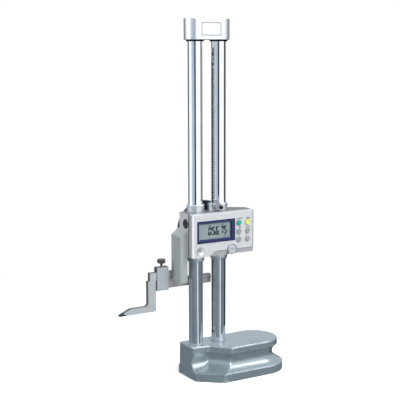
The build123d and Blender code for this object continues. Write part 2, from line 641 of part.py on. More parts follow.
def ring_y(outer, inner, x, z, y):
    """A ring round a line along Y."""
    return rod_y(outer, x, y, z) - rod_y(inner, x, (y[0] - 1, y[1] + 1), z)


def lower_facet():
    """The shallow recess under the raised panel. It starts on a slant and runs to the right side."""
    lip = display_z(LIP_HEIGHT)
    low = BODY_Z[0] - 1
    right = BODY_RIGHT + 1
    profile = polygon([
        (CASE_FRONT - 1, lip),
        (CASE_FRONT + LIP_STEP, lip),
        (CASE_FRONT + LIP_DEPTH, low),
        (CASE_FRONT - 1, low),
    ])
    wedge = extrude(Plane.YZ.offset(LIP_LEFT) * profile, right - LIP_LEFT)
    front = polygon([
        (LIP_LEFT, low),
        (LIP_LEFT, BODY_Z[0]),
        (LIP_LEFT + 8.2, lip - 1.0),
        (LIP_LEFT + 12.0, lip),
        (right, lip),
        (right, low),
    ])
    wedge = wedge & plate_xz(front, (CASE_FRONT - 1, CASE_BACK))
    return wedge - rod_y(HOLD_RING, HOLD_X, (CASE_FRONT - 2, CASE_BACK), display_z(HOLD_Z))


def make_display_bezel():
    y = (CASE_FRONT - BEZEL_PROUD, CASE_FRONT + BEZEL_DEPTH)
    frame = block(BEZEL_X, y, lifted(BEZEL_Z, 0))
    frame = fillet(edges_along(frame, Axis.Y), 1.0)
    window = block(GLASS_X, (y[0] - 1, y[1] + 1), lifted(GLASS_Z, 0))
    frame -= window
    inner = [e for e in frame.edges().group_by(Axis.Y)[0] if in_window(e.center())]
    return chamfer(inner, 0.9)


def in_window(point):
    """Whether a point is over the glass, seen from the front."""
    across = GLASS_X[0] - 0.1 < point.X < GLASS_X[1] + 0.1
    return across and display_z(GLASS_Z[0]) - 0.1 < point.Z < display_z(GLASS_Z[1]) + 0.1


def make_display_window():
    y = (CASE_FRONT + BEZEL_DEPTH, CASE_FRONT + BEZEL_DEPTH + 0.8)
    return block(grown(GLASS_X, 1.1), y, lifted(GLASS_Z, 1.1))


def make_display_panel():
    y = (CASE_FRONT + BEZEL_DEPTH + 0.9, CASE_FRONT + BEZEL_DEPTH + 3.4)
    glass = block(grown(GLASS_X, 1.0), y, lifted(GLASS_Z, 1.0))
    holder = block(grown(GLASS_X, 2.5), (y[1], BOARD_FRONT), lifted(GLASS_Z, 2.5))
    rim = block(grown(GLASS_X, -2.0), (y[1] - 1, BOARD_FRONT + 1), lifted(GLASS_Z, -2.0))
    return glass + (holder - rim)


def make_circuit_board():
    y = (BOARD_FRONT, BOARD_FRONT + BOARD_THICKNESS)
    board = plate_xz(front_outline(CASE_WALL + 0.6), y)
    for x, z in case_screw_places():
        board -= rod_y(CASE_SCREW_RADIUS + FREE, x, (y[0] - 1, y[1] + 1), z)
    for x in (PINION_X - 26, PINION_X + 30):
        board += block((x - 5, x + 5), (y[1] - 0.1, y[1] + 1.6), (PINION_Z - 5, PINION_Z + 5))
    return board


def make_encoder_sensor():
    """The reading head on the board, facing the upper half of the encoder disc."""
    y = (BOARD_FRONT + BOARD_THICKNESS, ENCODER_BACK - ENCODER_THICKNESS - 0.4)
    return block((PINION_X - 4, PINION_X + 4), y, (PINION_Z + 3.6, PINION_Z + 9.5))


def make_keypad_mat():
    """The rubber mat under the keys and the smaller one under the hold key."""
    y = (FRONT_WALL_BACK + 2.0, BOARD_FRONT)
    x = (KEY_COLUMNS[0] - KEY_RADIUS - 1.5, KEY_COLUMNS[1] + KEY_RADIUS + 1.5)
    z = (display_z(KEY_ROWS[2]) - KEY_RADIUS - 1.5, display_z(KEY_ROWS[0]) + KEY_RADIUS + 1.5)
    small = rod_y(HOLD_RADIUS - 1.0, HOLD_X, y, display_z(HOLD_Z))
    return [block(x, y, z), small]


def key_places():
    """X and Z of the six round keys, row by row."""
    return [(x, display_z(height)) for height in KEY_ROWS for x in KEY_COLUMNS]


def make_key(x, z, radius=KEY_RADIUS):
    """A round key with a soft front edge and a rim that keeps it behind the front wall."""
    front = CASE_FRONT - KEY_PROUD
    back = FRONT_WALL_BACK + 2.0 - KEY_TRAVEL_GAP
    key = rod_y(radius, x, (front, back), z)
    key = fillet(key.edges().group_by(Axis.Y)[0], 0.5)
    return key + rod_y(radius + KEY_RIM, x, (FRONT_WALL_BACK + 0.1, back), z)


def make_probe_socket():
    y = (CASE_FRONT + 1.0, BOARD_FRONT)
    z = display_z(SOCKET_Z)
    socket = rod_y(SOCKET_RADIUS, SOCKET_X, y, z)
    return socket - rod_y(0.9, SOCKET_X, (y[0] - 1, y[0] + 4), z)


def make_case_screws():
    length = CASE_HEAD_SEAT - FRONT_WALL_BACK - 2.0
    screw = socket_screw(CASE_HEAD_RADIUS, CASE_HEAD_HEIGHT, CASE_SCREW_RADIUS, length, 1.4)
    return [Location((x, CASE_HEAD_SEAT, z), (-90, 0, 0)) * screw for x, z in case_screw_places()]


# ---------------------------------------------------------------- the battery
def battery_span(start, thickness):
    """X of a piece in the battery's pocket, from a depth below the casting's left side."""
    return (-BODY_LEFT + start, -BODY_LEFT + start + thickness)


def make_battery_cap():
    x = battery_span(-0.5, BATTERY_CAP_THICKNESS + 0.4)
    z = display_z(BATTERY_Z)
    cap = rod_x(BATTERY_CAP_RADIUS, x, BATTERY_Y, z)
    cap = chamfer(cap.edges().group_by(Axis.X)[0], 0.4)
    slot = block((x[0] - 1, x[0] + 0.9), (BATTERY_Y - 5.0, BATTERY_Y + 5.0), (z - 0.7, z + 0.7))
    return cap - slot


def make_battery_cell():
    x = battery_span(BATTERY_CAP_THICKNESS, CELL_THICKNESS)
    cell = rod_x(CELL_RADIUS, (x[0] + 1.0, x[1]), BATTERY_Y, display_z(BATTERY_Z))
    return cell + rod_x(CELL_RADIUS - 1.2, x, BATTERY_Y, display_z(BATTERY_Z))


def make_battery_contact():
    x = battery_span(BATTERY_CAP_THICKNESS + CELL_THICKNESS, CONTACT_THICKNESS)
    return rod_x(CELL_RADIUS - 1.5, x, BATTERY_Y, display_z(BATTERY_Z))


# ---------------------------------------------------------------- the feed wheel, its shaft and bearings
def make_bearing_front():
    y = (CASE_BACK, -PINION_WIDTH / 2 - 0.9)
    return ring_y(BEARING_RADIUS, SHAFT_RADIUS + RUNNING, PINION_X, PINION_Z, y)


def plate_screw_places():
    """X and Z of the screws in the corners of the bearing plate."""
    across = PLATE_WIDTH / 2 - 3.0
    up = PLATE_HEIGHT / 2 - 3.0
    return [(PINION_X + a * across, PINION_Z + b * up) for a in (-1, 1) for b in (-1, 1)]


def make_bearing_plate():
    """The plate on the casting's back, with a spigot that carries the shaft."""
    x = (PINION_X - PLATE_WIDTH / 2, PINION_X + PLATE_WIDTH / 2)
    z = (PINION_Z - PLATE_HEIGHT / 2, PINION_Z + PLATE_HEIGHT / 2)
    plate = block(x, (BODY_BACK, BODY_BACK + PLATE_THICKNESS), z)
    plate = fillet(edges_along(plate, Axis.Y), 3.0)
    plate += rod_y(BEARING_RADIUS - 0.3, PINION_X, (PINION_WIDTH / 2 + 0.3, BODY_BACK + 0.1), PINION_Z)
    plate -= rod_y(SHAFT_RADIUS + RUNNING, PINION_X, (0, WHEEL_FRONT), PINION_Z)
    for x, z in plate_screw_places():
        plate -= Location((x, BODY_BACK + PLATE_THICKNESS, z), (-90, 0, 0)) * plate_screw(SLIP)
    return plate


def plate_screw(play):
    """A small countersunk screw, or the hole for it when there is play."""
    head = Pos(0, 0, -1.2) * Cone(1.0 + play, 2.1 + play, 1.2, align=UPRIGHT)
    return head + rod_z(1.0 + play, 0, 0, (-5.2, -1.19))


def make_plate_screws():
    back = BODY_BACK + PLATE_THICKNESS
    screw = countersunk_screw(2.1, 1.2, 1.0, 5.0)
    return [Location((x, back, z), (-90, 0, 0)) * screw for x, z in plate_screw_places()]


def pinion_outline():
    """The pinion's outline: involute flanks from the base circle to the tips, radial below it."""
    base_radius = PITCH_RADIUS * cos(radians(20))
    root = PITCH_RADIUS - DEDENDUM
    tip = PITCH_RADIUS + ADDENDUM
    half_pitch_angle = pi / (2 * PINION_TEETH) - BACKLASH / (4 * PITCH_RADIUS)

    def half_angle(radius):
        pressure = acos(min(1.0, base_radius / radius))
        involute = tan(pressure) - pressure
        return half_pitch_angle + tan(radians(20)) - radians(20) - involute

    steps = [root, base_radius, (base_radius + tip) / 2 - 0.1, tip]
    flank = [(radius, half_angle(max(radius, base_radius))) for radius in steps]
    points = []
    for tooth in range(PINION_TEETH):
        middle = 2 * pi * tooth / PINION_TEETH
        rising = [(radius, middle - angle) for radius, angle in flank]
        falling = [(radius, middle + angle) for radius, angle in reversed(flank)]
        points += [(radius * cos(turn), radius * sin(turn)) for radius, turn in rising + falling]
    return polygon(points)


def make_feed_pinion():
    y = (-PINION_WIDTH / 2, PINION_WIDTH / 2)
    pinion = plate_xz(Pos(PINION_X, PINION_Z) * pinion_outline(), y)
    return pinion - rod_y(SHAFT_RADIUS + SLIP, PINION_X, (y[0] - 1, y[1] + 1), PINION_Z)


def make_feed_shaft():
    y = (ENCODER_BACK - ENCODER_THICKNESS, WHEEL_FRONT + WHEEL_HUB_LENGTH - 2.0)
    shaft = rod_y(SHAFT_RADIUS, PINION_X, y, PINION_Z)
    return shaft - rod_y(1.5 + SLIP, PINION_X, (y[1] - 7.0, y[1] + 1), PINION_Z)


def make_encoder_disc():
    y = (ENCODER_BACK - ENCODER_THICKNESS, ENCODER_BACK)
    return ring_y(ENCODER_RADIUS, SHAFT_RADIUS + SLIP, PINION_X, PINION_Z, y)


def make_feed_wheel():
    """A dished handwheel, turned from one profile and knurled round its rim."""
    rim_back = WHEEL_FRONT + WHEEL_RIM_WIDTH
    inner = WHEEL_RADIUS - WHEEL_RIM_DEPTH
    hub_front = BODY_BACK + PLATE_THICKNESS + 0.3
    hub_back = WHEEL_FRONT + WHEEL_HUB_LENGTH
    web = WHEEL_FRONT + 2.0
    profile = polygon([
        (SHAFT_RADIUS + SLIP, hub_front),
        (WHEEL_HUB_RADIUS - 2.0, hub_front),
        (WHEEL_HUB_RADIUS, WHEEL_FRONT + 1.0),
        (inner - 2.0, web),
        (inner, WHEEL_FRONT),
        (WHEEL_RADIUS - 1.0, WHEEL_FRONT),
        (WHEEL_RADIUS, WHEEL_FRONT + 1.0),
        (WHEEL_RADIUS, rim_back - 1.0),
        (WHEEL_RADIUS - 1.0, rim_back),
        (inner + 1.0, rim_back),
        (inner - 1.5, web + 2.6),
        (WHEEL_HUB_RADIUS + 2.0, web + 3.0),
        (WHEEL_HUB_RADIUS, hub_back - 1.0),
        (WHEEL_HUB_RADIUS - 1.0, hub_back),
        (SHAFT_RADIUS + SLIP, hub_back),
    ])
    wheel = revolve(profile, Axis.Y)
    wheel &= plate_xz(knurl_outline(WHEEL_RADIUS, 0.4, WHEEL_KNURLS), (BODY_BACK, hub_back + 1))
    return Pos(PINION_X, 0, PINION_Z) * wheel


def knurl_outline(radius, depth, count):
    """A disc whose edge is a ring of shallow V grooves."""
    radii = (radius, radius - depth) * count
    turns = [pi * step / count for step in range(2 * count)]
    return polygon([(r * cos(turn), r * sin(turn)) for r, turn in zip(radii, turns)])


def make_wheel_screw():
    seat = WHEEL_FRONT + WHEEL_HUB_LENGTH
    screw = socket_screw(5.0, 2.4, 1.5, 8.0, 1.4)
    return Location((PINION_X, seat, PINION_Z), (-90, 0, 0)) * screw


# ---------------------------------------------------------------- the jaw arm and its bar
def arm_screw_places():
    """X and Z of the screws through the arm's rear flange."""
    x = -BODY_LEFT + 6.0
    return [(x, display_z(24.0)), (x, display_z(37.0))]


def make_jaw_arm():
    """The pillar on the slider's left side, with a sloping top, a foot round the bar and a rear flange."""
    side = -BODY_LEFT
    bottom = display_z(ARM_BOTTOM)
    top = display_z(ARM_TOP)
    pillar = plate_xz(polygon([
        (ARM_LEFT, bottom),
        (side, bottom),
        (side, top + 0.8 * ARM_THICKNESS),
        (ARM_LEFT, top),
    ]), (ARM_FRONT, ARM_BACK))
    outer = [e for e in edges_along(pillar, Axis.Z) if e.center().X < side - 1 and e.center().Y < 0]
    pillar = fillet(outer, 2.0)
    foot_z = (bottom, bottom + FOOT_HEIGHT)
    foot = block((ARM_LEFT, ARM_LEFT + FOOT_LENGTH), (ARM_BACK - 0.5, FOOT_BACK), foot_z)
    flange_z = (display_z(19.0), display_z(42.0))
    flange = block((side - 1, side + 12.0), (BODY_BACK, BODY_BACK + FLANGE_THICKNESS), flange_z)
    arm = pillar + foot + (flange - block((side - 2, side), (ARM_BACK, 20), (bottom, top)))
    arm -= block((ARM_LEFT - 1, ARM_LEFT + FOOT_LENGTH + 1), (BAR_FRONT, BAR_BACK), (bottom - 1, BAR_Z[1]))
    for x, z in arm_screw_places():
        arm -= Location((x, BODY_BACK + FLANGE_THICKNESS, z), (-90, 0, 0)) * arm_screw_hole()
    for x in bar_screw_places():
        arm -= rod_z(1.5 + SLIP, x, BAR_MIDDLE, (bottom - 1, bottom + FOOT_HEIGHT - 2.0))
    return arm


def arm_screw_hole():
    """The hole for a countersunk screw in the arm's flange."""
    sink = Pos(0, 0, -1.8) * Cone(1.5 + SLIP, 3.0 + SLIP, 1.8, align=UPRIGHT)
    return sink + rod_z(1.5 + SLIP, 0, 0, (-9, -1.79))


def make_arm_screws():
    back = BODY_BACK + FLANGE_THICKNESS
    screw = countersunk_screw(3.0, 1.8, 1.5, 8.0)
    return [Location((x, back, z), (-90, 0, 0)) * screw for x, z in arm_screw_places()]


def bar_screw_places():
    """X of the two screws that hold the bar up in the foot's groove."""
    middle = ARM_LEFT + FOOT_LENGTH / 2
    return (middle - 6.5, middle + 6.5)


def make_jaw_bar():
    bar = block((BAR_LEFT, BAR_RIGHT), (BAR_FRONT, BAR_BACK), BAR_Z)
    bar = chamfer(bar.edges().filter_by(GeomType.LINE).filter_by(Axis.X), 0.4)
    for x in bar_screw_places():
        bar -= rod_z(1.5 + SLIP, x, BAR_MIDDLE, (BAR_Z[0] - 1, BAR_Z[1] + 1))
        bar -= rod_z(2.7, x, BAR_MIDDLE, (BAR_Z[0] - 1, BAR_Z[0] + 3.2))
    return bar


def make_bar_screws():
    screw = socket_screw(2.5, 2.6, 1.5, 17.4, 1.2)
    return [Location((x, BAR_MIDDLE, BAR_Z[0] + 3.2), (180, 0, 0)) * screw for x in bar_screw_places()]


# ---------------------------------------------------------------- the clamp box, its screws and the scriber
def box_span_z():
    """The heights of the clamp box's bottom and top."""
    bottom = BAR_Z[0] - BOX_FLOOR
    return (bottom, BAR_Z[1] + SHANK_HEIGHT + BOX_PLAY + BOX_ROOF)


def make_clamp_box():
    """The box round the bar and the scriber's shank, open along X."""
    x = (BOX_LEFT, BOX_LEFT + BOX_LENGTH)
    z = box_span_z()
    box = block(x, (BAR_FRONT - BOX_WALL, BAR_BACK + BOX_WALL), z)
    box = fillet(edges_along(box, Axis.Z), 1.0)
    window_z = (BAR_Z[0] - BOX_PLAY, BAR_Z[1] + SHANK_HEIGHT + BOX_PLAY)
    window = block((x[0] - 1, x[1] + 1), (BAR_FRONT - BOX_PLAY, BAR_BACK + BOX_PLAY), window_z)
    box -= window
    box -= rod_z(THUMB_STEM + RUNNING, BOX_MIDDLE, BAR_MIDDLE, (window_z[1] - 1, z[1] + 1))
    box -= rod_z(1.5 + SLIP, BOX_MIDDLE + 6.0, BAR_MIDDLE, (window_z[1] - 1, z[1] + 1))
    return box


def make_box_set_screw():
    """The small set screw beside the thumb screw."""
    z = (BAR_Z[1] + SHANK_HEIGHT + BOX_PLAY + 0.1, box_span_z()[1] + 0.8)
    screw = rod_z(1.5, BOX_MIDDLE + 6.0, BAR_MIDDLE, z)
    key = Pos(BOX_MIDDLE + 6.0, BAR_MIDDLE, z[1] - 1.0) * extrude(RegularPolygon(0.8, 6), 2)
    return screw - key


def make_thumb_screw():
    """A knurled head on a thin stem that reaches down to the scriber's shank."""
    top = box_span_z()[1]
    head_z = (top + THUMB_LIFT, top + THUMB_LIFT + THUMB_HEIGHT)
    stem = rod_z(THUMB_STEM, 0, 0, (BAR_Z[1] + SHANK_HEIGHT + BOX_PLAY, head_z[0] + 0.1))
    head = rod_z(THUMB_RADIUS, 0, 0, head_z)
    head = chamfer(head.edges(), 0.9)
    head &= plate_xy(knurl_outline(THUMB_RADIUS, 0.35, 36), head_z)
    return Pos(BOX_MIDDLE, BAR_MIDDLE, 0) * (stem + head)


def scriber_outline():
    """The scriber seen from the front: a short shank, an upright and a long arm bevelled to its tip."""
    low = display_z(SCRIBER_ARM_BOTTOM)
    high = low + SCRIBER_ARM_HEIGHT
    back = BAR_LEFT + SCRIBER_BACK
    left = back - SCRIBER_UPRIGHT
    tip = BAR_LEFT + SCRIBER_TIP
    shank_bottom = BAR_Z[1] + RUNNING
    shape = polygon([
        (BAR_LEFT + SCRIBER_SHANK_RIGHT, shank_bottom),
        (BAR_LEFT + SCRIBER_SHANK_RIGHT, BAR_Z[1] + SHANK_HEIGHT),
        (BAR_LEFT + SCRIBER_STEP, BAR_Z[1] + SHANK_HEIGHT),
        (BAR_LEFT + SCRIBER_STEP, BAR_Z[1]),
        (left, BAR_Z[1]),
        (left, high),
        (BAR_LEFT + SCRIBER_BEVEL, high),
        (tip, low + SCRIBER_NOSE),
        (tip, low),
        (back, low),
        (back, shank_bottom),
    ])
    shape = fillet(shape.vertices().sort_by_distance((left, high))[:1], 4.5)
    return fillet(shape.vertices().sort_by_distance((back, low))[:1], 2.5)


def carbide_outline():
    """The hard tip: a low wedge let into the end of the arm."""
    low = display_z(SCRIBER_ARM_BOTTOM)
    tip = BAR_LEFT + SCRIBER_TIP
    return polygon([
        (tip - 1, low - 1),
        (tip + CARBIDE_LENGTH, low - 1),
        (tip + CARBIDE_LENGTH, low + 0.7),
        (tip + 0.55 * CARBIDE_LENGTH, low + CARBIDE_HEIGHT),
        (tip + 0.35 * CARBIDE_LENGTH, low + 2 * CARBIDE_HEIGHT),
        (tip - 1, low + 2 * CARBIDE_HEIGHT),
    ])


def make_scriber():
    return plate_xz(scriber_outline() - carbide_outline(), (BAR_FRONT, BAR_BACK))


def make_carbide_tip():
    return plate_xz(scriber_outline() & carbide_outline(), (BAR_FRONT, BAR_BACK))


# ---------------------------------------------------------------- every piece by its name
NODES = {
    "base": make_base,
    "column_left": lambda: make_column(LEFT),
    "column_right": make_column_right,
    "column_bolts": make_column_bolts,
    "foot_rings": make_foot_rings,
    "rack": make_rack,
    "rack_keeper": make_rack_keeper,
    "rack_screws": lambda: [rack_screw_at(z, 0) for z in rack_screw_heights()],
    "stop_rings": make_stop_rings,
    "top_cap": make_top_cap,
    "cap_screws": make_cap_screws,
    "slider_casting": make_casting,
    "bush_lower_left": lambda: bush_bottom(LEFT),
    "bush_lower_right": lambda: bush_bottom(RIGHT),
    "bush_upper_left": lambda: bush_top(LEFT),
    "bush_upper_right": make_bush_upper_right,
    "clamp_pad": make_clamp_pad,
    "clamp_screw": make_clamp_screw,
    "clamp_lever": make_clamp_lever,
    "display_case": make_display_case,
    "case_screws": make_case_screws,
    "display_bezel": make_display_bezel,
    "display_window": make_display_window,
    "display_panel": make_display_panel,
    "circuit_board": make_circuit_board,
    "encoder_sensor": make_encoder_sensor,
    "keypad_mat": make_keypad_mat,
    "hold_key": lambda: make_key(HOLD_X, display_z(HOLD_Z), HOLD_RADIUS),
    "probe_socket": make_probe_socket,
    "battery_cap": make_battery_cap,
    "battery_cell": make_battery_cell,
    "battery_contact": make_battery_contact,
    "bearing_front": make_bearing_front,
    "bearing_plate": make_bearing_plate,
    "plate_screws": make_plate_screws,
    "feed_pinion": make_feed_pinion,
    "feed_shaft": make_feed_shaft,
    "encoder_disc": make_encoder_disc,
    "feed_wheel": make_feed_wheel,
    "wheel_screw": make_wheel_screw,
    "jaw_arm": make_jaw_arm,
    "arm_screws": make_arm_screws,
    "jaw_bar": make_jaw_bar,
    "bar_screws": make_bar_screws,
    "clamp_box": make_clamp_box,
    "box_set_screw": make_box_set_screw,
    "thumb_screw": make_thumb_screw,
    "scriber": make_scriber,
    "carbide_tip": make_carbide_tip,
}
KEY_NAMES = (
    "key_top_left", "key_top_right",
    "key_middle_left", "key_middle_right",
    "key_bottom_left", "key_bottom_right",
)


def main():
    os.makedirs("parts", exist_ok=True)
    pieces = {name: make() for name, make in NODES.items()}
    for name, (x, z) in zip(KEY_NAMES, key_places()):
        pieces[name] = make_key(x, z)
    for name, piece in pieces.items():
        solids = Compound(children=[solid for part in as_list(piece) for solid in part.solids()])
        export_step(solids, f"parts/{name}.step")


def as_list(piece):
    """A piece as a list, whether it is one part or a group of like parts."""
    return piece if isinstance(piece, list) else [piece]


if __name__ == "__main__":
    main()
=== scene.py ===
"""Finishes, display, printing and studio for a twin-column digital height gauge.

Everything is in metres in the gauge's own frame: the origin is on the plane that the base
stands on, midway between the columns, the display faces -Y and the scriber reaches to -X.
"""

import math

import bpy
import numpy as np
from bpy.props import (
    FloatProperty,
    FloatVectorProperty,
    IntProperty,
    PointerProperty,
    StringProperty,
)
from mathutils import Matrix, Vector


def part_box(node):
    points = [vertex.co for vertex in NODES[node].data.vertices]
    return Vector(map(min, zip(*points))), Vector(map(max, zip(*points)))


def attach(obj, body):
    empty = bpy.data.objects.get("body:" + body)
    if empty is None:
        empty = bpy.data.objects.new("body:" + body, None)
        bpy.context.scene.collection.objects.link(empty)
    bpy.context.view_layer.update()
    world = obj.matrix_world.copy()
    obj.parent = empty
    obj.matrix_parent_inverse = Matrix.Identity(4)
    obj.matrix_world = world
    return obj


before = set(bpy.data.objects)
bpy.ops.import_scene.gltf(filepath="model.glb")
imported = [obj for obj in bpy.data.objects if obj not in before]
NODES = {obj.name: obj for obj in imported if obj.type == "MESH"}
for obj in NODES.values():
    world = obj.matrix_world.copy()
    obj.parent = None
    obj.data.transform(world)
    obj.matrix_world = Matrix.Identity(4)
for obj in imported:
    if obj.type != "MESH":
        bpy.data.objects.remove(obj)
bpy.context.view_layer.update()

bl_info = {
    "name": "Height Gauge Looks",
    "version": (1, 0, 0),
    "blender": (4, 5, 0),
    "location": "3D View > Sidebar > Gauge",
    "description": "Finishes, display, printing and studio for a digital height gauge",
    "category": "Object",
}

MM = 0.001


# ---------------------------------------------------------------- what a user would change
def colour_property(name, description, default):
    """A colour that a user would change."""
    return FloatVectorProperty(
        name=name, description=description, default=default, subtype="COLOR", size=3, min=0, max=1
    )


def length(name, description, millimetres):
    """A length that a user would change."""
    return FloatProperty(name=name, description=description, default=millimetres * MM, unit="LENGTH")


def angle(name, description, degrees):
    """An angle that a user would change."""
    return FloatProperty(name=name, description=description, default=math.radians(degrees), subtype="ANGLE")


def power(name, description, watts):
    """The power of a lamp."""
    return FloatProperty(name=name, description=description, default=watts, unit="POWER")


class GAUGE_PG_stage(bpy.types.PropertyGroup):
    """Sizes and strengths of the studio."""

    azimuth: angle("Camera azimuth", "How far the camera looks to the right of the gauge's +Y", 30.52)
    pitch: angle("Camera pitch", "How far the camera looks down", 8.65)
    roll: angle("Camera roll", "How far the camera leans about its own line of sight", -0.17)
    lens: FloatProperty(
        name="Focal length",
        description="Focal length on a 36 mm wide sensor, in millimetres",
        default=88.66,
        min=10,
    )
    place: FloatVectorProperty(
        name="Camera place",
        description="Where the camera stands",
        default=(-0.6979, -1.1645, 0.4566),
        subtype="TRANSLATION",
        unit="LENGTH",
    )
    floor_radius: length("Floor radius", "Radius of the round floor", 14000)
    key: power("Key light", "Power of the large softbox in front", 34.0)
    streak: power("Streak light", "Power of the narrow box that draws streaks on the enamel", 12.0)
    fill: power("Fill light", "Power of the softbox on the left", 14.0)
    top: power("Top light", "Power of the softbox overhead", 4.0)
    ambient: FloatProperty(
        name="Room light", description="Strength of the even light from all round", default=0.95, min=0
    )


class GAUGE_PG_colours(bpy.types.PropertyGroup):
    """Colours of the painted and moulded pieces."""

    base: colour_property("Base enamel", "Enamel on the cast base", (0.280, 0.345, 0.375))
    casting: colour_property("Slider paint", "Paint on the slider casting", (0.62, 0.65, 0.67))
    arm: colour_property("Arm paint", "Paint on the jaw arm", (0.44, 0.472, 0.470))
    case: colour_property("Display case", "Satin lacquer on the display case", (0.60, 0.612, 0.622))
    bezel: colour_property("Bezel", "Outer frame round the display", (0.001, 0.0015, 0.035))
    band: colour_property("Bezel band", "Lighter band inside the bezel", (0.015, 0.021, 0.125))
    panel: colour_property("Display panel", "Liquid crystal panel with nothing shown", (0.270, 0.335, 0.345))
    green: colour_property("Green key", "Key at the upper left", (0.010, 0.38, 0.27))
    yellow: colour_property("Yellow key", "Key at the upper right", (0.76, 0.83, 0.16))
    grey: colour_property("Grey keys", "The four keys below", (0.33, 0.35, 0.385))
    wheel: colour_property("Feed wheel", "Moulded wheel", (0.006, 0.010, 0.030))


class GAUGE_PG_display(bpy.types.PropertyGroup):
    """The reading on the display."""

    reading: StringProperty(name="Reading", description="Digits and point that are shown", default="056.75")
    left: length("Left edge", "Left edge of the first digit", -14.2)
    bottom: length("Bottom", "Height of the digits' lower edge", 205.2)
    width: length("Digit width", "Width of one digit", 5.35)
    height: length("Digit height", "Height of one digit", 11.6)
    pitch: length("Digit pitch", "From one digit to the next", 5.85)
    stroke: length("Stroke", "Width of one segment", 2.1)
    slant: angle("Slant", "How far the digits lean to the right", 5.0)
    film: length("Film", "Thickness of a segment", 0.05)
    lift: length("Lift", "From the panel to the front of a segment", 0.07)
    point_overlap: length("Point overlap", "How far the point reaches back towards its digit", 0.1)
    point_width: length("Point width", "Width of the decimal point", 1.1)
    point_height: length("Point height", "Height of the decimal point", 1.2)
    point_pitch: length("Point pitch", "How far the point moves the next digit", 1.3)


class GAUGE_PG_trim(bpy.types.PropertyGroup):
    """Bezel band, key rims, lining of the probe socket and the dark strip of painted shade in the case
    joint.
    """

    band_left: length("Band left", "Outer left edge of the bezel band", -31.0)
    band_right: length("Band right", "Outer right edge of the bezel band", 26.9)
    band_bottom: length("Band bottom", "Outer lower edge of the bezel band", 196.5)
    band_top: length("Band top", "Outer upper edge of the bezel band", 224.7)
    pane_left: length("Pane left", "Inner left edge of the bezel band", -29.5)
    pane_right: length("Pane right", "Inner right edge of the bezel band", 23.4)
    pane_bottom: length("Pane bottom", "Inner lower edge of the bezel band", 199.6)
    pane_top: length("Pane top", "Inner upper edge of the bezel band", 222.5)
    band_corner: length("Band corner", "Radius of the band's outer corners", 0.7)
    pane_corner: length("Pane corner", "Radius of the band's inner corners", 0.5)
    band_film: length("Band film", "How far the band stands proud of the bezel", 0.05)
    lip_width: length("Lip width", "Width of the pale line along the band's left side", 0.7)
    lip_lap: length("Lip lap", "How far the pale line overlaps the band", 0.1)
    lip_film: length("Lip film", "How far the pale line stands proud of the bezel", 0.08)
    key_gap: length("Key gap", "From a round key to the middle of its rim", 0.70)
    key_rim: length("Key rim", "Radius of the rim's section", 0.62)
    hold_gap: length("Hold key gap", "From the hold key to the middle of its rim", 1.20)
    hold_rim: length("Hold key rim", "Radius of the hold key rim's section", 0.85)
    dish_x: length("Dish X", "Middle of the socket's dish, from the origin towards +X", -27.4)
    dish_z: length("Dish Z", "Height of the middle of the socket's dish", 184.6)
    dish_radius: length("Dish radius", "Radius of the dish at its rim", 6.0)
    dish_depth: length("Dish depth", "Depth of the dish", 1.5)
    joint_front: length("Joint front", "How far the strip reaches forward from the joint", 1.2)
    joint_back: length("Joint back", "How far the strip reaches back, short of the battery cap", 0.35)
    joint_wall: length("Joint wall", "Thickness of the strip", 0.8)
    joint_proud: length("Joint proud", "How far the strip stands out of the case", 0.02)


class GAUGE_PG_printing(bpy.types.PropertyGroup):
    """Captions on the case and the bare plate on the cap."""

    letter: length("Letter height", "Height of the key captions", 1.9)
    hold_letter: length("Hold letter height", "Height of the caption on the hold key", 1.5)
    film: length("Ink thickness", "How far the ink stands proud", 0.03)
    plate_left: length("Plate left", "Left edge of the plate", -17.4)
    plate_right: length("Plate right", "Right edge of the plate", 14.1)
    plate_bottom: length("Plate bottom", "Lower edge of the plate", 475.7)
    plate_top: length("Plate top", "Upper edge of the plate", 493.8)
    plate_corner: length("Plate corner", "Radius of the plate's corners", 1.6)
    plate_film: length("Plate film", "Thickness of the plate", 0.12)
    plate_chamfer: length("Plate chamfer", "How far the plate's face is drawn in", 0.04)
    border_inset: length("Border inset", "From the plate's edge to the border", 0.35)
    border_width: length("Border width", "Width of the printed border", 1.1)


class GAUGE_PG_threads(bpy.types.PropertyGroup):
    """The screw thread on the thumb screw."""

    pitch: length("Pitch", "From one turn to the next", 0.7)
    depth: length("Depth", "From crest to root", 0.32)
    root: length("Root radius", "Radius at the root", 1.46)
    head: length("Head", "Height of the knurled head", 5.6)
    gap: length("Gap", "From the box to the first turn", 0.1)
    around: IntProperty(name="Points round", description="Points round one turn", default=48, min=12)


# ---------------------------------------------------------------- node trees
def node(tree, kind, inputs=None, **settings):
    """Adds a shader node, sets its settings, and sets or links its inputs."""
    made = tree.nodes.new("ShaderNode" + kind)
    for key, value in settings.items():
        setattr(made, key, value)
    for key, value in (inputs or {}).items():
        if isinstance(value, bpy.types.NodeSocket):
            tree.links.new(value, made.inputs[key])
        else:
            made.inputs[key].default_value = value
    return made


def maths(tree, operation, *values, clamp=False):
    """One arithmetic step."""
    made = node(tree, "Math", dict(enumerate(values)), operation=operation, use_clamp=clamp)
    return made.outputs[0]


def vectors(tree, operation, *values):
    """One step on vectors."""
    made = node(tree, "VectorMath", dict(enumerate(values)), operation=operation)
    return made.outputs["Value" if operation in ("DOT_PRODUCT", "LENGTH") else "Vector"]


def between(tree, value, low, high):
    """Zero below low, one above high and a smooth step from one to the other."""
    made = node(
        tree,
        "MapRange",
        {"Value": value, "From Min": low, "From Max": high},
        interpolation_type="SMOOTHSTEP",
    )
    return made.outputs["Result"]


def blend_colours(tree, share, first, second):
    """The first colour, turning into the second as share rises."""
    return node(tree, "Mix", {0: share, 6: first, 7: second}, data_type="RGBA").outputs[2]


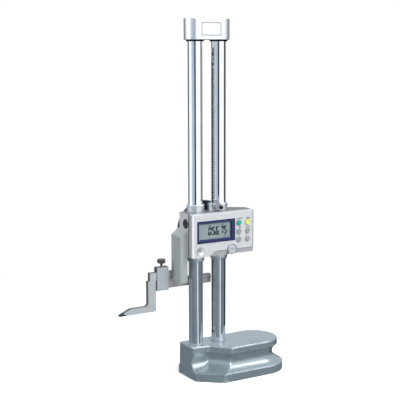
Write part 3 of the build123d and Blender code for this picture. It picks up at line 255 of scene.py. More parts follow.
def blend_values(tree, share, first, second):
    """The first number, turning into the second as share rises."""
    return node(tree, "Mix", {0: share, 2: first, 3: second}, data_type="FLOAT").outputs[0]


def opaque(colour):
    """A colour with its alpha."""
    return (*tuple(colour)[:3], 1.0)


def new_group(name, inputs, outputs):
    """An empty shader node group with named sockets."""
    tree = bpy.data.node_groups.new(name, "ShaderNodeTree")
    for label, kind, default in inputs:
        socket = tree.interface.new_socket(label, in_out="INPUT", socket_type="NodeSocket" + kind)
        socket.default_value = default
    for label, kind in outputs:
        tree.interface.new_socket(label, in_out="OUTPUT", socket_type="NodeSocket" + kind)
    return tree, tree.nodes.new("NodeGroupInput").outputs, tree.nodes.new("NodeGroupOutput").inputs


def object_place(tree):
    """Object coordinates."""
    return node(tree, "TexCoord").outputs["Object"]


def noise(tree, place, scale, detail=2.0, rough=0.5):
    """Fractal noise from 0 to 1."""
    made = node(tree, "TexNoise", {"Vector": place, "Scale": scale, "Detail": detail, "Roughness": rough})
    return made.outputs["Fac"]


def group_worn_and_lit_edges():
    """Mask of rubbed edges, which some finishes also use as painted edge highlights: how far a rounded
    normal turns from the surface's own, broken up by noise.
    """
    tree, given, out = new_group(
        "Worn edges",
        [("Width", "Float", 0.0004), ("Strength", "Float", 5.0), ("Patches", "Float", 250.0)],
        [("Mask", "Float")],
    )
    rounded = node(tree, "Bevel", {"Radius": given["Width"]}, samples=4).outputs["Normal"]
    own = node(tree, "NewGeometry").outputs["Normal"]
    turn = maths(tree, "SUBTRACT", 1.0, vectors(tree, "DOT_PRODUCT", rounded, own))
    patches = between(tree, noise(tree, object_place(tree), given["Patches"], 4.0), 0.32, 0.62)
    rubbed = maths(tree, "MULTIPLY", turn, given["Strength"], clamp=True)
    uneven = maths(tree, "MULTIPLY", rubbed, maths(tree, "ADD", patches, 0.35), clamp=True)
    tree.links.new(uneven, out["Mask"])
    return tree


def group_grain():
    """Fine even grain: two sizes of noise, added, as a height and as a tone."""
    tree, given, out = new_group(
        "Grain", [("Scale", "Float", 3000.0)], [("Height", "Float"), ("Tone", "Float")]
    )
    place = object_place(tree)
    coarse = noise(tree, place, given["Scale"], 2.0)
    fine = noise(tree, place, maths(tree, "MULTIPLY", given["Scale"], 3.7), 3.0, 0.65)
    both = maths(tree, "ADD", maths(tree, "MULTIPLY", coarse, 0.65), maths(tree, "MULTIPLY", fine, 0.35))
    tree.links.new(both, out["Height"])
    tree.links.new(between(tree, both, 0.35, 0.65), out["Tone"])
    return tree


def group_skin():
    """Skin of enamel over a casting: soft round swells with small pits between them."""
    tree, given, out = new_group(
        "Cast skin", [("Scale", "Float", 700.0)], [("Height", "Float"), ("Pits", "Float")]
    )
    place = object_place(tree)
    drift = node(tree, "TexNoise", {"Vector": place, "Scale": given["Scale"]}).outputs["Color"]
    small = node(tree, "VectorMath", {0: drift, "Scale": 0.0006}, operation="SCALE").outputs["Vector"]
    bent = vectors(tree, "ADD", place, small)
    cells = node(
        tree, "TexVoronoi", {"Vector": bent, "Scale": given["Scale"], "Smoothness": 0.8}, feature="SMOOTH_F1"
    ).outputs["Distance"]
    swells = maths(tree, "SUBTRACT", 1.0, cells)
    slow = noise(tree, place, maths(tree, "MULTIPLY", given["Scale"], 0.3), 3.0)
    tree.links.new(maths(tree, "ADD", maths(tree, "MULTIPLY", swells, 0.6), slow), out["Height"])
    pits = between(tree, noise(tree, place, maths(tree, "MULTIPLY", given["Scale"], 1.6), 1.0), 0.70, 0.78)
    tree.links.new(pits, out["Pits"])
    return tree


def group_lines():
    """Ground or brushed lines: noise squeezed across them and stretched along them, in two sizes."""
    tree, given, out = new_group(
        "Ground lines", [("Squeeze", "Vector", (8.0, 8.0, 2500.0))], [("Height", "Float"), ("Tone", "Float")]
    )
    place = vectors(tree, "MULTIPLY", object_place(tree), given["Squeeze"])
    coarse = noise(tree, place, 0.35, 3.0, 0.6)
    fine = noise(tree, place, 1.0, 4.0, 0.7)
    both = maths(tree, "ADD", maths(tree, "MULTIPLY", coarse, 0.45), maths(tree, "MULTIPLY", fine, 0.55))
    tree.links.new(both, out["Height"])
    tree.links.new(between(tree, both, 0.36, 0.64), out["Tone"])
    return tree


def group_turned():
    """Turned lines: noise that depends only on the distance from an axis through Centre."""
    tree, given, out = new_group(
        "Turned lines",
        [("Centre", "Vector", (0, 0, 0)), ("Across", "Vector", (1, 0, 1)), ("Density", "Float", 2500.0)],
        [("Height", "Float"), ("Tone", "Float")],
    )
    offset = vectors(tree, "SUBTRACT", object_place(tree), given["Centre"])
    radius = vectors(tree, "LENGTH", vectors(tree, "MULTIPLY", offset, given["Across"]))
    rings = node(
        tree,
        "TexNoise",
        {"W": maths(tree, "MULTIPLY", radius, given["Density"]), "Scale": 1.0, "Detail": 3.0},
        noise_dimensions="1D",
    ).outputs["Fac"]
    tree.links.new(rings, out["Height"])
    tree.links.new(between(tree, rings, 0.35, 0.65), out["Tone"])
    return tree


def group_handling():
    """Traces of handling: large soft smudges with finer breaks in them."""
    tree, given, out = new_group(
        "Handling", [("Scale", "Float", 30.0), ("Amount", "Float", 1.0)], [("Mask", "Float")]
    )
    place = object_place(tree)
    large = between(tree, noise(tree, place, given["Scale"], 3.0, 0.6), 0.42, 0.68)
    breaks = noise(tree, place, maths(tree, "MULTIPLY", given["Scale"], 9.0), 4.0, 0.7)
    both = maths(tree, "MULTIPLY", large, breaks)
    tree.links.new(maths(tree, "MULTIPLY", both, given["Amount"], clamp=True), out["Mask"])
    return tree


def group_dust():
    """Dust that settles where a surface looks upwards, in uneven specks."""
    tree, given, out = new_group(
        "Settled dust", [("Amount", "Float", 0.1), ("Specks", "Float", 1800.0)], [("Mask", "Float")]
    )
    place = object_place(tree)
    normal = node(tree, "NewGeometry").outputs["Normal"]
    upwards = between(tree, vectors(tree, "DOT_PRODUCT", normal, (0, 0, 1)), 0.55, 0.98)
    specks = between(tree, noise(tree, place, given["Specks"], 2.0), 0.50, 0.70)
    film = noise(tree, place, 25.0, 3.0)
    laid = maths(tree, "MULTIPLY", upwards, maths(tree, "ADD", maths(tree, "MULTIPLY", specks, 0.7), film))
    tree.links.new(maths(tree, "MULTIPLY", laid, given["Amount"], clamp=True), out["Mask"])
    return tree


def group_facing_shade():
    """Mask of the surfaces that face along chosen axes, where painted shade goes: the squares of the normal,
    weighted and added.
    """
    tree, given, out = new_group("Facing", [("Axes", "Vector", (0, 0, 1))], [("Mask", "Float")])
    normal = node(tree, "TexCoord").outputs["Normal"]
    squares = vectors(tree, "MULTIPLY", normal, normal)
    weighted = vectors(tree, "DOT_PRODUCT", squares, given["Axes"])
    tree.links.new(between(tree, weighted, 0.45, 0.90), out["Mask"])
    return tree


def group_corner_light():
    """Masks of the upright corners towards -Y, for a painted highlight on one side and painted shade on the
    other: the product of the normal's X and Y, by its sign.
    """
    tree, _given, out = new_group("Corners", [], [("Left", "Float"), ("Right", "Float")])
    apart = node(tree, "SeparateXYZ", {0: node(tree, "TexCoord").outputs["Normal"]}).outputs
    product = maths(tree, "MULTIPLY", maths(tree, "MULTIPLY", apart["X"], apart["Y"]), 2.0)
    tree.links.new(between(tree, product, 0.35, 0.85), out["Left"])
    tree.links.new(between(tree, maths(tree, "MULTIPLY", product, -1.0), 0.12, 0.50), out["Right"])
    return tree


def group_painted_strip():
    """Mask of a strip for painted light and shade: object coordinates along one direction, between two soft
    edges.
    """
    tree, given, out = new_group(
        "Strip",
        [
            ("Along", "Vector", (0, 1, 0)),
            ("Low", "Float", 0.0),
            ("High", "Float", 0.001),
            ("Soft", "Float", 0.0002),
        ],
        [("Mask", "Float")],
    )
    place = vectors(tree, "DOT_PRODUCT", object_place(tree), given["Along"])
    rise = between(tree, place, given["Low"], maths(tree, "ADD", given["Low"], given["Soft"]))
    fall = between(tree, place, given["High"], maths(tree, "ADD", given["High"], given["Soft"]))
    tree.links.new(maths(tree, "MULTIPLY", rise, maths(tree, "SUBTRACT", 1.0, fall)), out["Mask"])
    return tree


GROUP_MAKERS = {
    "Corners": group_corner_light,
    "Strip": group_painted_strip,
    "Facing": group_facing_shade,
    "Worn edges": group_worn_and_lit_edges,
    "Grain": group_grain,
    "Cast skin": group_skin,
    "Ground lines": group_lines,
    "Turned lines": group_turned,
    "Handling": group_handling,
    "Settled dust": group_dust,
}


def effect(tree, name, **values):
    """Places a shared effect in a material with its own values."""
    group = bpy.data.node_groups.get(name) or GROUP_MAKERS[name]()
    placed = tree.nodes.new("ShaderNodeGroup")
    placed.node_tree = group
    for key, value in values.items():
        placed.inputs[key].default_value = value
    return placed.outputs


MICROMETRE = 1e-6
DUST = (0.62, 0.61, 0.58)
SECOND_SHARE = 0.82  # of the first colour, where a finish names no second one


def finish(
    name,
    colour,
    second=None,
    metallic=0.0,
    roughness=0.4,
    spread=0.08,
    grain=None,
    skin=None,
    lines=None,
    turned=None,
    facing=None,
    corners=None,
    strip=None,
    wear_and_highlight=None,
    dust=0.0,
    smudge=(30.0, 0.25),
    coat=None,
    ior=1.5,
    alpha=None,
):
    """Builds a material: a two-tone ground with lines, grain or skin, painted shade and highlights from
    facing, strip and corner masks, rubbed edges that are also painted edge highlights, smudges and dust.

    Depths are real, in micrometres. The ground turns from colour to second with the smudges and tones, the
    painted shade and highlights go into it, rubbed edges, which are also painted highlights, and dust lie
    over it, and roughness rises with each of them.
    """
    material = bpy.data.materials.new(name)
    material.use_nodes = True
    tree = material.node_tree
    shader = tree.nodes["Principled BSDF"]
    shader.inputs["IOR"].default_value = ior
    colour = opaque(colour)
    second = opaque(second or [SECOND_SHARE * part for part in colour[:3]])
    handling = effect(tree, "Handling", Scale=smudge[0], Amount=1.0)["Mask"]
    ground = blend_colours(tree, handling, colour, second)
    # Painted shade on the faces turned along the chosen axes.
    if facing is not None:
        axes, tone = facing
        ground = blend_colours(tree, effect(tree, "Facing", Axes=axes)["Mask"], ground, opaque(tone))
    # A strip in another tone: painted light and shade.
    if strip is not None:
        values, tone = strip
        ground = blend_colours(tree, effect(tree, "Strip", **values)["Mask"], ground, opaque(tone))
    # Painted highlight and shade on the upright corners towards -Y.
    if corners is not None:
        placed = effect(tree, "Corners")
        for side, tone in zip(("Left", "Right"), corners):
            ground = blend_colours(tree, placed[side], ground, opaque(tone))
    rough = maths(tree, "MULTIPLY_ADD", handling, smudge[1], roughness)
    heights = []
    for row, label in ((lines, "Ground lines"), (turned, "Turned lines"), (grain, "Grain")):
        if row is None:
            continue
        values, depth, share = row
        made = effect(tree, label, **values)
        heights.append((made["Height"], depth))
        ground = blend_colours(tree, maths(tree, "MULTIPLY", made["Tone"], share), ground, second)
        rough = maths(tree, "MULTIPLY_ADD", maths(tree, "SUBTRACT", made["Tone"], 0.5), spread, rough)
    if skin is not None:
        scale, depth = skin
        made = effect(tree, "Cast skin", Scale=scale)
        heights.append((made["Height"], depth))
        heights.append((made["Pits"], -0.6 * depth))
        ground = blend_colours(tree, maths(tree, "MULTIPLY", made["Pits"], 0.35), ground, second)
        rough = maths(tree, "MULTIPLY_ADD", made["Pits"], 0.15, rough)
    metal = None
    # Rubbed edges; their bare colour also serves as a painted edge highlight.
    if wear_and_highlight is not None:
        width, strength, bare, bare_metal, bare_rough = wear_and_highlight
        rubbed = effect(tree, "Worn edges", Width=width * MM, Strength=strength)["Mask"]
        ground = blend_colours(tree, rubbed, ground, opaque(bare))
        rough = blend_values(tree, rubbed, rough, bare_rough)
        if abs(bare_metal - metallic) > 0.01:
            metal = blend_values(tree, rubbed, metallic, bare_metal)
    if dust:
        laid = effect(tree, "Settled dust", Amount=dust)["Mask"]
        ground = blend_colours(tree, laid, ground, opaque(DUST))
        rough = maths(tree, "MULTIPLY_ADD", laid, 0.5, rough)
    tree.links.new(ground, shader.inputs["Base Color"])
    rough = maths(tree, "MINIMUM", maths(tree, "MAXIMUM", rough, 0.02), 1.0)
    tree.links.new(rough, shader.inputs["Roughness"])
    shader.inputs["Metallic"].default_value = metallic
    if metal is not None:
        tree.links.new(metal, shader.inputs["Metallic"])
    if heights:
        total = None
        for height, depth in heights:
            part = maths(tree, "MULTIPLY", height, depth * MICROMETRE)
            total = part if total is None else maths(tree, "ADD", total, part)
        bump = node(tree, "Bump", {"Height": total, "Distance": 1.0, "Strength": 1.0})
        tree.links.new(bump.outputs["Normal"], shader.inputs["Normal"])
    if coat is not None:
        shader.inputs["Coat Weight"].default_value = coat[0]
        shader.inputs["Coat Roughness"].default_value = coat[1]
    if alpha is not None:
        clear, smeared = alpha
        tree.links.new(
            maths(tree, "MULTIPLY_ADD", handling, smeared - clear, clear), shader.inputs["Alpha"]
        )
    return material


# ---------------------------------------------------------------- looks of the gauge
def paint_looks(colours):
    """Enamel and paint on the castings; the casting's top takes painted shade and the rubbed edges are also
    painted highlights.
    """
    # Bare iron for the rubbed edges; its light tone is also a painted highlight along the base's edges.
    iron_and_highlight = (0.70, 0.76, 0.79)
    return {
        "base_paint": dict(
            colour=colours.base, metallic=0.50, roughness=0.30, spread=0.05,
            grain=({"Scale": 2600.0}, 1.0, 0.15),
            skin=(620.0, 8.0), wear_and_highlight=(0.6, 5.0, iron_and_highlight, 0.6, 0.26), dust=0.01, coat=(1.0, 0.14),
        ),
        "casting_paint": dict(
            colour=colours.casting, metallic=0.1, roughness=0.50, spread=0.06,
            grain=({"Scale": 3400.0}, 2.5, 0.30), skin=(900.0, 9.0),
            wear_and_highlight=(0.3, 3.0, (0.72, 0.75, 0.77), 0.3, 0.3),
            # Painted shade on the faces that look up and down.
            facing=((0, 0, 1), (0.105, 0.11, 0.115)), dust=0.03,
        ),
        "arm_paint": dict(
            colour=colours.arm, metallic=0.15, roughness=0.40, spread=0.06,
            grain=({"Scale": 3400.0}, 2.5, 0.30), skin=(900.0, 9.0),
            wear_and_highlight=(0.35, 3.0, (0.66, 0.69, 0.70), 0.3, 0.3),
            dust=0.06,
        ),
    }


def steel_looks():
    """Bare, chromed, blackened and turned metal, some with painted shade and highlights."""
    bright = (0.86, 0.88, 0.90)
    return {
        "column_chrome": dict(
            colour=(0.84, 0.87, 0.91), second=(0.70, 0.74, 0.79), metallic=1.0, roughness=0.035, spread=0.02,
            lines=({"Squeeze": (900.0, 900.0, 5.0)}, 0.03, 0.10), smudge=(45.0, 0.05),
        ),
        "ground_steel": dict(
            colour=(0.56, 0.57, 0.58), second=(0.40, 0.41, 0.43), metallic=1.0, roughness=0.28, spread=0.12,
            lines=({"Squeeze": (2500.0, 60.0, 2500.0)}, 1.2, 0.3), wear_and_highlight=(0.15, 4.0, bright, 1.0, 0.2),
        ),
        # The rack: a near-black ground as painted shade, with a white strip along its face as a painted
        # highlight.
        "rack_steel": dict(
            colour=(0.035, 0.036, 0.040), second=(0.020, 0.021, 0.024), metallic=0.2, roughness=0.40,
            spread=0.10,
            lines=({"Squeeze": (2500.0, 60.0, 2500.0)}, 1.2, 0.2),
            strip=({"Along": (0, 1, 0), "Low": -3.0 * MM, "High": 0.5 * MM}, (1.0, 1.0, 1.0)),
        ),
        "ring_steel": dict(
            colour=(0.46, 0.49, 0.53), second=(0.38, 0.41, 0.45), metallic=0.6, roughness=0.34, spread=0.10,
            turned=({"Centre": (0, 0, 0), "Across": (1, 1, 0), "Density": 1500.0}, 0.5, 0.25),
            wear_and_highlight=(0.15, 4.0, bright, 1.0, 0.2),
        ),
        "cap_alloy": dict(
            colour=(0.78, 0.80, 0.82), second=(0.71, 0.74, 0.77), metallic=1.0, roughness=0.33, spread=0.06,
            lines=({"Squeeze": (6.0, 6.0, 3000.0)}, 0.35, 0.18),
            wear_and_highlight=(0.3, 3.0, (0.95, 0.96, 0.97), 1.0, 0.3),
            dust=0.05, smudge=(18.0, 0.08),
        ),
        "dark_screws": dict(
            colour=(0.035, 0.037, 0.040), second=(0.07, 0.07, 0.072), metallic=0.8, roughness=0.34,
            grain=({"Scale": 4000.0}, 2.0, 0.4), wear_and_highlight=(0.12, 6.0, (0.45, 0.45, 0.46), 1.0, 0.28),
        ),
        "bush_steel": dict(
            colour=(0.76, 0.79, 0.83), second=(0.60, 0.64, 0.69), metallic=1.0, roughness=0.36, spread=0.12,
            lines=({"Squeeze": (3.0, 3.0, 3400.0)}, 0.8, 0.3), wear_and_highlight=(0.2, 4.0, bright, 1.0, 0.16),
        ),
        "clamp_metal": dict(
            colour=(0.76, 0.79, 0.82), second=(0.60, 0.63, 0.67), metallic=1.0, roughness=0.36, spread=0.10,
            grain=({"Scale": 2800.0}, 1.0, 0.3), wear_and_highlight=(0.2, 4.0, bright, 1.0, 0.16),
        ),
        "soft_brass": dict(
            colour=(0.68, 0.47, 0.18), second=(0.45, 0.30, 0.12), metallic=1.0, roughness=0.34,
            grain=({"Scale": 2500.0}, 1.5, 0.4), wear_and_highlight=(0.15, 4.0, (0.85, 0.66, 0.32), 1.0, 0.22),
        ),
        "plate_alloy": dict(
            colour=(0.70, 0.72, 0.75), second=(0.55, 0.57, 0.61), metallic=1.0, roughness=0.33, spread=0.14,
            lines=({"Squeeze": (2600.0, 8.0, 12.0)}, 1.0, 0.35), wear_and_highlight=(0.2, 4.0, bright, 1.0, 0.2),
            dust=0.06,
        ),
        "bar_steel": dict(
            colour=(0.56, 0.555, 0.55), second=(0.42, 0.41, 0.405), metallic=0.6, roughness=0.30,
            spread=0.14,
            # Painted shade on the faces that look sideways, up and down.
            facing=((1, 0, 1), (0.10, 0.10, 0.10)),
            lines=({"Squeeze": (30.0, 2800.0, 2800.0)}, 1.0, 0.35),
            wear_and_highlight=(0.2, 4.0, (0.7, 0.69, 0.68), 1.0, 0.2),
        ),
        "box_steel": dict(
            colour=(0.60, 0.63, 0.66), second=(0.50, 0.53, 0.56), metallic=0.55, roughness=0.36, spread=0.12,
            # Painted shade on the faces that look sideways, up and down.
            facing=((1, 0, 1), (0.085, 0.083, 0.082)),
            lines=({"Squeeze": (2400.0, 2400.0, 14.0)}, 0.9, 0.3), wear_and_highlight=(0.3, 3.5, bright, 1.0, 0.2),
            dust=0.05,
        ),
        "thumb_steel": dict(
            colour=(0.16, 0.157, 0.145), second=(0.08, 0.08, 0.075), metallic=0.8, roughness=0.33,
            grain=({"Scale": 3600.0}, 2.0, 0.4), wear_and_highlight=(0.15, 5.0, (0.50, 0.50, 0.49), 1.0, 0.25),
        ),
        "scriber_steel": dict(
            colour=(0.62, 0.65, 0.66), second=(0.52, 0.55, 0.56), metallic=0.55, roughness=0.36, spread=0.12,
            # Painted shade on the faces that look sideways, up and down.
            facing=((1, 0, 1), (0.075, 0.072, 0.07)),
            lines=({"Squeeze": (140.0, 2600.0, 2600.0)}, 0.8, 0.3), wear_and_highlight=(0.2, 3.5, bright, 1.0, 0.18),
        ),
        "carbide": dict(
            colour=(0.032, 0.032, 0.035), second=(0.055, 0.055, 0.058), metallic=0.9, roughness=0.20,
            lines=({"Squeeze": (900.0, 2600.0, 2600.0)}, 0.6, 0.3),
            wear_and_highlight=(0.08, 5.0, (0.35, 0.35, 0.36), 1.0, 0.2),
        ),
        "cell_nickel": dict(
            colour=(0.66, 0.65, 0.61), second=(0.52, 0.51, 0.48), metallic=1.0, roughness=0.22,
            grain=({"Scale": 2600.0}, 0.8, 0.3), wear_and_highlight=(0.15, 4.0, bright, 1.0, 0.16),
        ),
    }


def moulded_looks(colours):
    """Plastic, rubber, glass, the electronic pieces and the dark strip of painted shade in the case joint.
    """
    wheel_axis = (3.85 * MM, 0, 207 * MM)
    key = dict(roughness=0.30, spread=0.05, grain=({"Scale": 5200.0}, 1.6, 0.15), smudge=(160.0, 0.12))
    return {
        "case_plastic": dict(
            colour=colours.case, second=(0.56, 0.575, 0.59), metallic=0.0, roughness=0.36, spread=0.05,
            # Near-white rubbed edges: painted highlights along the case's edges and rounded corners.
            grain=({"Scale": 4200.0}, 2.2, 0.22), wear_and_highlight=(0.9, 4.0, (0.92, 0.93, 0.95), 0.0, 0.3), dust=0.03,
            # Painted shade on the top, bottom and sides, a painted highlight on the left upright corner and
            # painted shade on the right one.
            facing=((1, 0, 1), (0.23, 0.24, 0.255)), corners=((0.95, 0.96, 0.98), (0.07, 0.075, 0.08)),
            # A mid tone from just behind the front: painted shade over the recessed facet, lighter than the
            # painted shade on the top and sides.
            strip=({"Along": (0, 1, 0), "Low": -27.4 * MM, "High": -20.0 * MM}, (0.42, 0.44, 0.46)),
            smudge=(38.0, 0.10),
        ),
        "bezel_navy": dict(
            colour=colours.bezel, second=(0.003, 0.005, 0.055), roughness=0.18, spread=0.04,
            grain=({"Scale": 4200.0}, 1.0, 0.25), wear_and_highlight=(0.2, 3.0, (0.05, 0.07, 0.25), 0.0, 0.22),
        ),
        "bezel_band": dict(
            colour=colours.band, second=(0.011, 0.016, 0.095), roughness=0.30, spread=0.05,
            grain=({"Scale": 5200.0}, 1.4, 0.30), wear_and_highlight=(0.12, 3.0, (0.16, 0.19, 0.50), 0.0, 0.25),
        ),
        "window_glass": dict(
            colour=(0.60, 0.66, 0.68), roughness=0.03, spread=0.0, grain=({"Scale": 3000.0}, 0.02, 0.0),
            alpha=(0.010, 0.03), smudge=(70.0, 0.10), ior=1.12,
        ),
        "lcd_grey": dict(
            colour=colours.panel, second=(0.232, 0.300, 0.312), roughness=0.30, spread=0.04,
            grain=({"Scale": 6500.0}, 0.8, 0.35), smudge=(55.0, 0.05),
        ),
        "key_green": dict(colour=colours.green, wear_and_highlight=(0.2, 3.0, (0.10, 0.62, 0.48), 0.0, 0.25), **key),
        "key_yellow": dict(colour=colours.yellow, wear_and_highlight=(0.2, 3.0, (0.9, 0.93, 0.35), 0.0, 0.25), **key),
        "key_grey": dict(colour=colours.grey, wear_and_highlight=(0.2, 3.0, (0.62, 0.65, 0.69), 0.0, 0.25), **key),
        "hold_pale": dict(
            colour=(0.50, 0.58, 0.64), wear_and_highlight=(0.25, 3.0, (0.80, 0.85, 0.89), 0.0, 0.25), **key
        ),
        "socket_black": dict(
            colour=(0.36, 0.37, 0.39), roughness=0.35, grain=({"Scale": 4200.0}, 2.0, 0.3),
            wear_and_highlight=(0.15, 4.0, (0.25, 0.26, 0.28), 0.0, 0.3),
        ),
        "battery_cap_black": dict(
            colour=(0.016, 0.018, 0.021), second=(0.035, 0.037, 0.042), roughness=0.34,
            grain=({"Scale": 3000.0}, 3.5, 0.5), wear_and_highlight=(0.2, 4.0, (0.14, 0.15, 0.16), 0.0, 0.3), dust=0.06,
        ),
        "black_stop": dict(
            colour=(0.001, 0.001, 0.0012), second=(0.003, 0.003, 0.0035), roughness=0.70,
            grain=({"Scale": 2600.0}, 4.0, 0.5), wear_and_highlight=(0.2, 3.0, (0.012, 0.012, 0.013), 0.0, 0.6), ior=1.05,
        ),
        "mat_rubber": dict(
            colour=(0.10, 0.105, 0.115), second=(0.07, 0.072, 0.08), roughness=0.62,
            grain=({"Scale": 2600.0}, 5.0, 0.4), smudge=(90.0, 0.1),
        ),
        "board_green": dict(
            colour=(0.010, 0.085, 0.040), second=(0.006, 0.055, 0.026), roughness=0.30,
            lines=({"Squeeze": (900.0, 900.0, 120.0)}, 4.0, 0.5), grain=({"Scale": 1800.0}, 6.0, 0.3),
        ),
        "sensor_black": dict(
            colour=(0.012, 0.012, 0.014), second=(0.03, 0.03, 0.034), roughness=0.42,
            grain=({"Scale": 3000.0}, 3.0, 0.5), wear_and_highlight=(0.12, 3.0, (0.1, 0.1, 0.11), 0.0, 0.4),
        ),
        "wheel_navy": dict(
            colour=colours.wheel, second=(0.020, 0.026, 0.055), roughness=0.27, spread=0.06,
            turned=({"Centre": wheel_axis, "Across": (1, 0, 1), "Density": 2200.0}, 1.6, 0.35),
            grain=({"Scale": 3400.0}, 1.8, 0.3), wear_and_highlight=(0.35, 3.5, (0.085, 0.095, 0.155), 0.0, 0.32),
            dust=0.05,
        ),
        "ink_dark": dict(
            colour=(0.012, 0.013, 0.018), second=(0.03, 0.032, 0.038), roughness=0.45,
            grain=({"Scale": 7000.0}, 1.5, 0.5), smudge=(400.0, 0.1),
        ),
        "ink_grey": dict(
            colour=(0.120, 0.130, 0.150), second=(0.18, 0.19, 0.21), roughness=0.45,
            grain=({"Scale": 7000.0}, 1.5, 0.5), smudge=(400.0, 0.1),
        ),
        "crystal_dark": dict(
            colour=(0.002, 0.003, 0.005), second=(0.005, 0.007, 0.010), roughness=0.30,
            grain=({"Scale": 8000.0}, 0.6, 0.5), smudge=(300.0, 0.1), ior=1.05,
        ),
        "dish_satin": dict(
            colour=(0.80, 0.82, 0.85), second=(0.70, 0.72, 0.75), metallic=0.75, roughness=0.28, spread=0.06,
            grain=({"Scale": 5200.0}, 0.6, 0.3), smudge=(160.0, 0.08),
        ),
        "rim_satin": dict(
            colour=(0.45, 0.46, 0.48), second=(0.38, 0.39, 0.41), metallic=0.3, roughness=0.30, spread=0.06,
            # Painted shade on each rim's left side and a painted highlight on its right side.
            corners=((0.012, 0.013, 0.016), (1.0, 1.0, 1.0)),
            grain=({"Scale": 5200.0}, 0.8, 0.3), smudge=(160.0, 0.1),
        ),
        "lip_lavender": dict(
            colour=(0.36, 0.39, 0.62), second=(0.28, 0.31, 0.52), roughness=0.35, spread=0.05,
            grain=({"Scale": 5200.0}, 1.0, 0.3), smudge=(160.0, 0.1),
        ),
        # Near-black strip in the case joint: painted shade for the shadow in the groove there.
        "joint_rubber": dict(
            colour=(0.018, 0.019, 0.021), second=(0.035, 0.036, 0.039), roughness=0.60,
            grain=({"Scale": 2600.0}, 4.0, 0.4), smudge=(90.0, 0.1),
        ),
        "plate_foil": dict(
            colour=(0.90, 0.92, 0.93), second=(0.80, 0.83, 0.86), metallic=0.55, roughness=0.30, spread=0.08,
            lines=({"Squeeze": (6.0, 6.0, 3600.0)}, 0.5, 0.25),
            wear_and_highlight=(0.1, 3.0, (0.95, 0.96, 0.97), 0.6, 0.25),
        ),
    }


def give_finish(slots, looks):
    """Puts new materials on every node whose packed material has one of the slots."""
    made = {slot: finish("finish_" + slot, **look) for slot, look in looks.items() if slot in slots}
    wearers = {slot: 0 for slot in made}
    for obj in NODES.values():
        for place in obj.material_slots:
            slot = slot_of(place.material)
            if slot in made:
                place.material = made[slot]
                wearers[slot] += 1
    unused = sorted(slot for slot, count in wearers.items() if count == 0)
    if unused:
        raise RuntimeError(f"no node has the slots {unused}")
    return made


def slot_of(material):
    """The record's slot that a packed material stands for."""
    if material is None:
        return ""
    name = material.name.split(".")[0]
    return name[7:] if name.startswith("finish_") else name


def need_material(name, colours):
    """The finish for a new piece, built when it's first asked for."""
    found = bpy.data.materials.get("finish_" + name)
    return found or finish("finish_" + name, **moulded_looks(colours)[name])


# ---------------------------------------------------------------- surfaces
def add_piece(name, points, faces, material, body, smooth=False):
    """Puts arrays of points and faces into a mesh that rides on a body, with its faces outwards."""
    mesh = bpy.data.meshes.new(name)
    mesh.from_pydata(np.asarray(points, float).reshape(-1, 3).tolist(), [], faces)
    mesh.update()
    mesh.validate()
    mesh.materials.append(material)
    mesh.polygons.foreach_set("use_smooth", [smooth] * len(mesh.polygons))
    piece = bpy.data.objects.new(name, mesh)
    bpy.context.scene.collection.objects.link(piece)
    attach(piece, body)
    return piece


def grid_faces(rows, columns, close_rows=False):
    """Quads of a grid that is closed round its columns, and round its rows too when asked."""
    joined = rows if close_rows else rows - 1
    row, column = np.meshgrid(np.arange(joined), np.arange(columns), indexing="ij")
    here, below = row * columns, (row + 1) % rows * columns
    beside = (column + 1) % columns
    quads = np.stack([here + column, here + beside, below + beside, below + column], -1)
    return quads.reshape(-1, 4).tolist()


def solid_of_rings(rings):
    """Points and faces of a closed solid: equal rings joined one to the next, with a face over each end."""
    count, around = rings.shape[:2]
    faces = grid_faces(count, around)
    faces.append(list(range(around))[::-1])
    faces.append(list(range((count - 1) * around, count * around)))
    return rings.reshape(-1, 3), faces


def rings_at(levels):
    """Rings of points: outlines in X and Z, each at its own Y."""
    return np.stack([np.column_stack([o[:, 0], np.full(len(o), y), o[:, 1]]) for o, y in levels])


def plate_from(outline, front, back, chamfer=0.0):
    """A plate facing -Y: an outline in X and Z carried from the back to the front.

    With a chamfer, a last ring is drawn in by it towards the outline's middle.
    """
    levels = [(outline, back), (outline, front + chamfer)]
    if chamfer:
        middle = outline.mean(0)
        shrink = 1 - chamfer / np.abs(outline - middle).max(0)
        levels.append((middle + (outline - middle) * shrink, front))
    return solid_of_rings(rings_at(levels))


def round_rectangle(left, right, bottom, top, radius, steps=8):
    """Points round a rectangle with quarter circles at its corners, anticlockwise in X and Z."""
    turn = np.linspace(0, math.pi / 2, steps)
    quarter = np.column_stack([np.cos(turn), np.sin(turn)]) * radius
    east, west, south, north = right - radius, left + radius, bottom + radius, top - radius
    corners = []
    for count, (x, z) in enumerate(((east, north), (west, north), (west, south), (east, south))):
        spun = count * math.pi / 2
        spin = np.array([[math.cos(spun), math.sin(spun)], [-math.sin(spun), math.cos(spun)]])
        corners.append(quarter @ spin + (x, z))
    return np.concatenate(corners)


def frame_between(outer, inner, front, back):
    """A picture frame facing -Y: a four-sided section carried round from an outer to an inner outline."""
    loops = rings_at([(outer, back), (outer, front), (inner, front), (inner, back)])
    return loops.reshape(-1, 3), grid_faces(4, len(outer), close_rows=True)


def combine(parts):
    """Several sets of points and faces as one."""
    points, faces, start = [], [], 0
    for some_points, some_faces in parts:
        points.append(np.asarray(some_points, float).reshape(-1, 3))
        faces += [[start + index for index in face] for face in some_faces]
        start += len(points[-1])
    return np.concatenate(points), faces


# The digits that light each segment.
SEGMENTS = {
    "top": "02356789",
    "upper_left": "045689",
    "upper_right": "01234789",
    "middle": "2345689",
    "lower_left": "0268",
    "lower_right": "013456789",
    "bottom": "0235689",
}


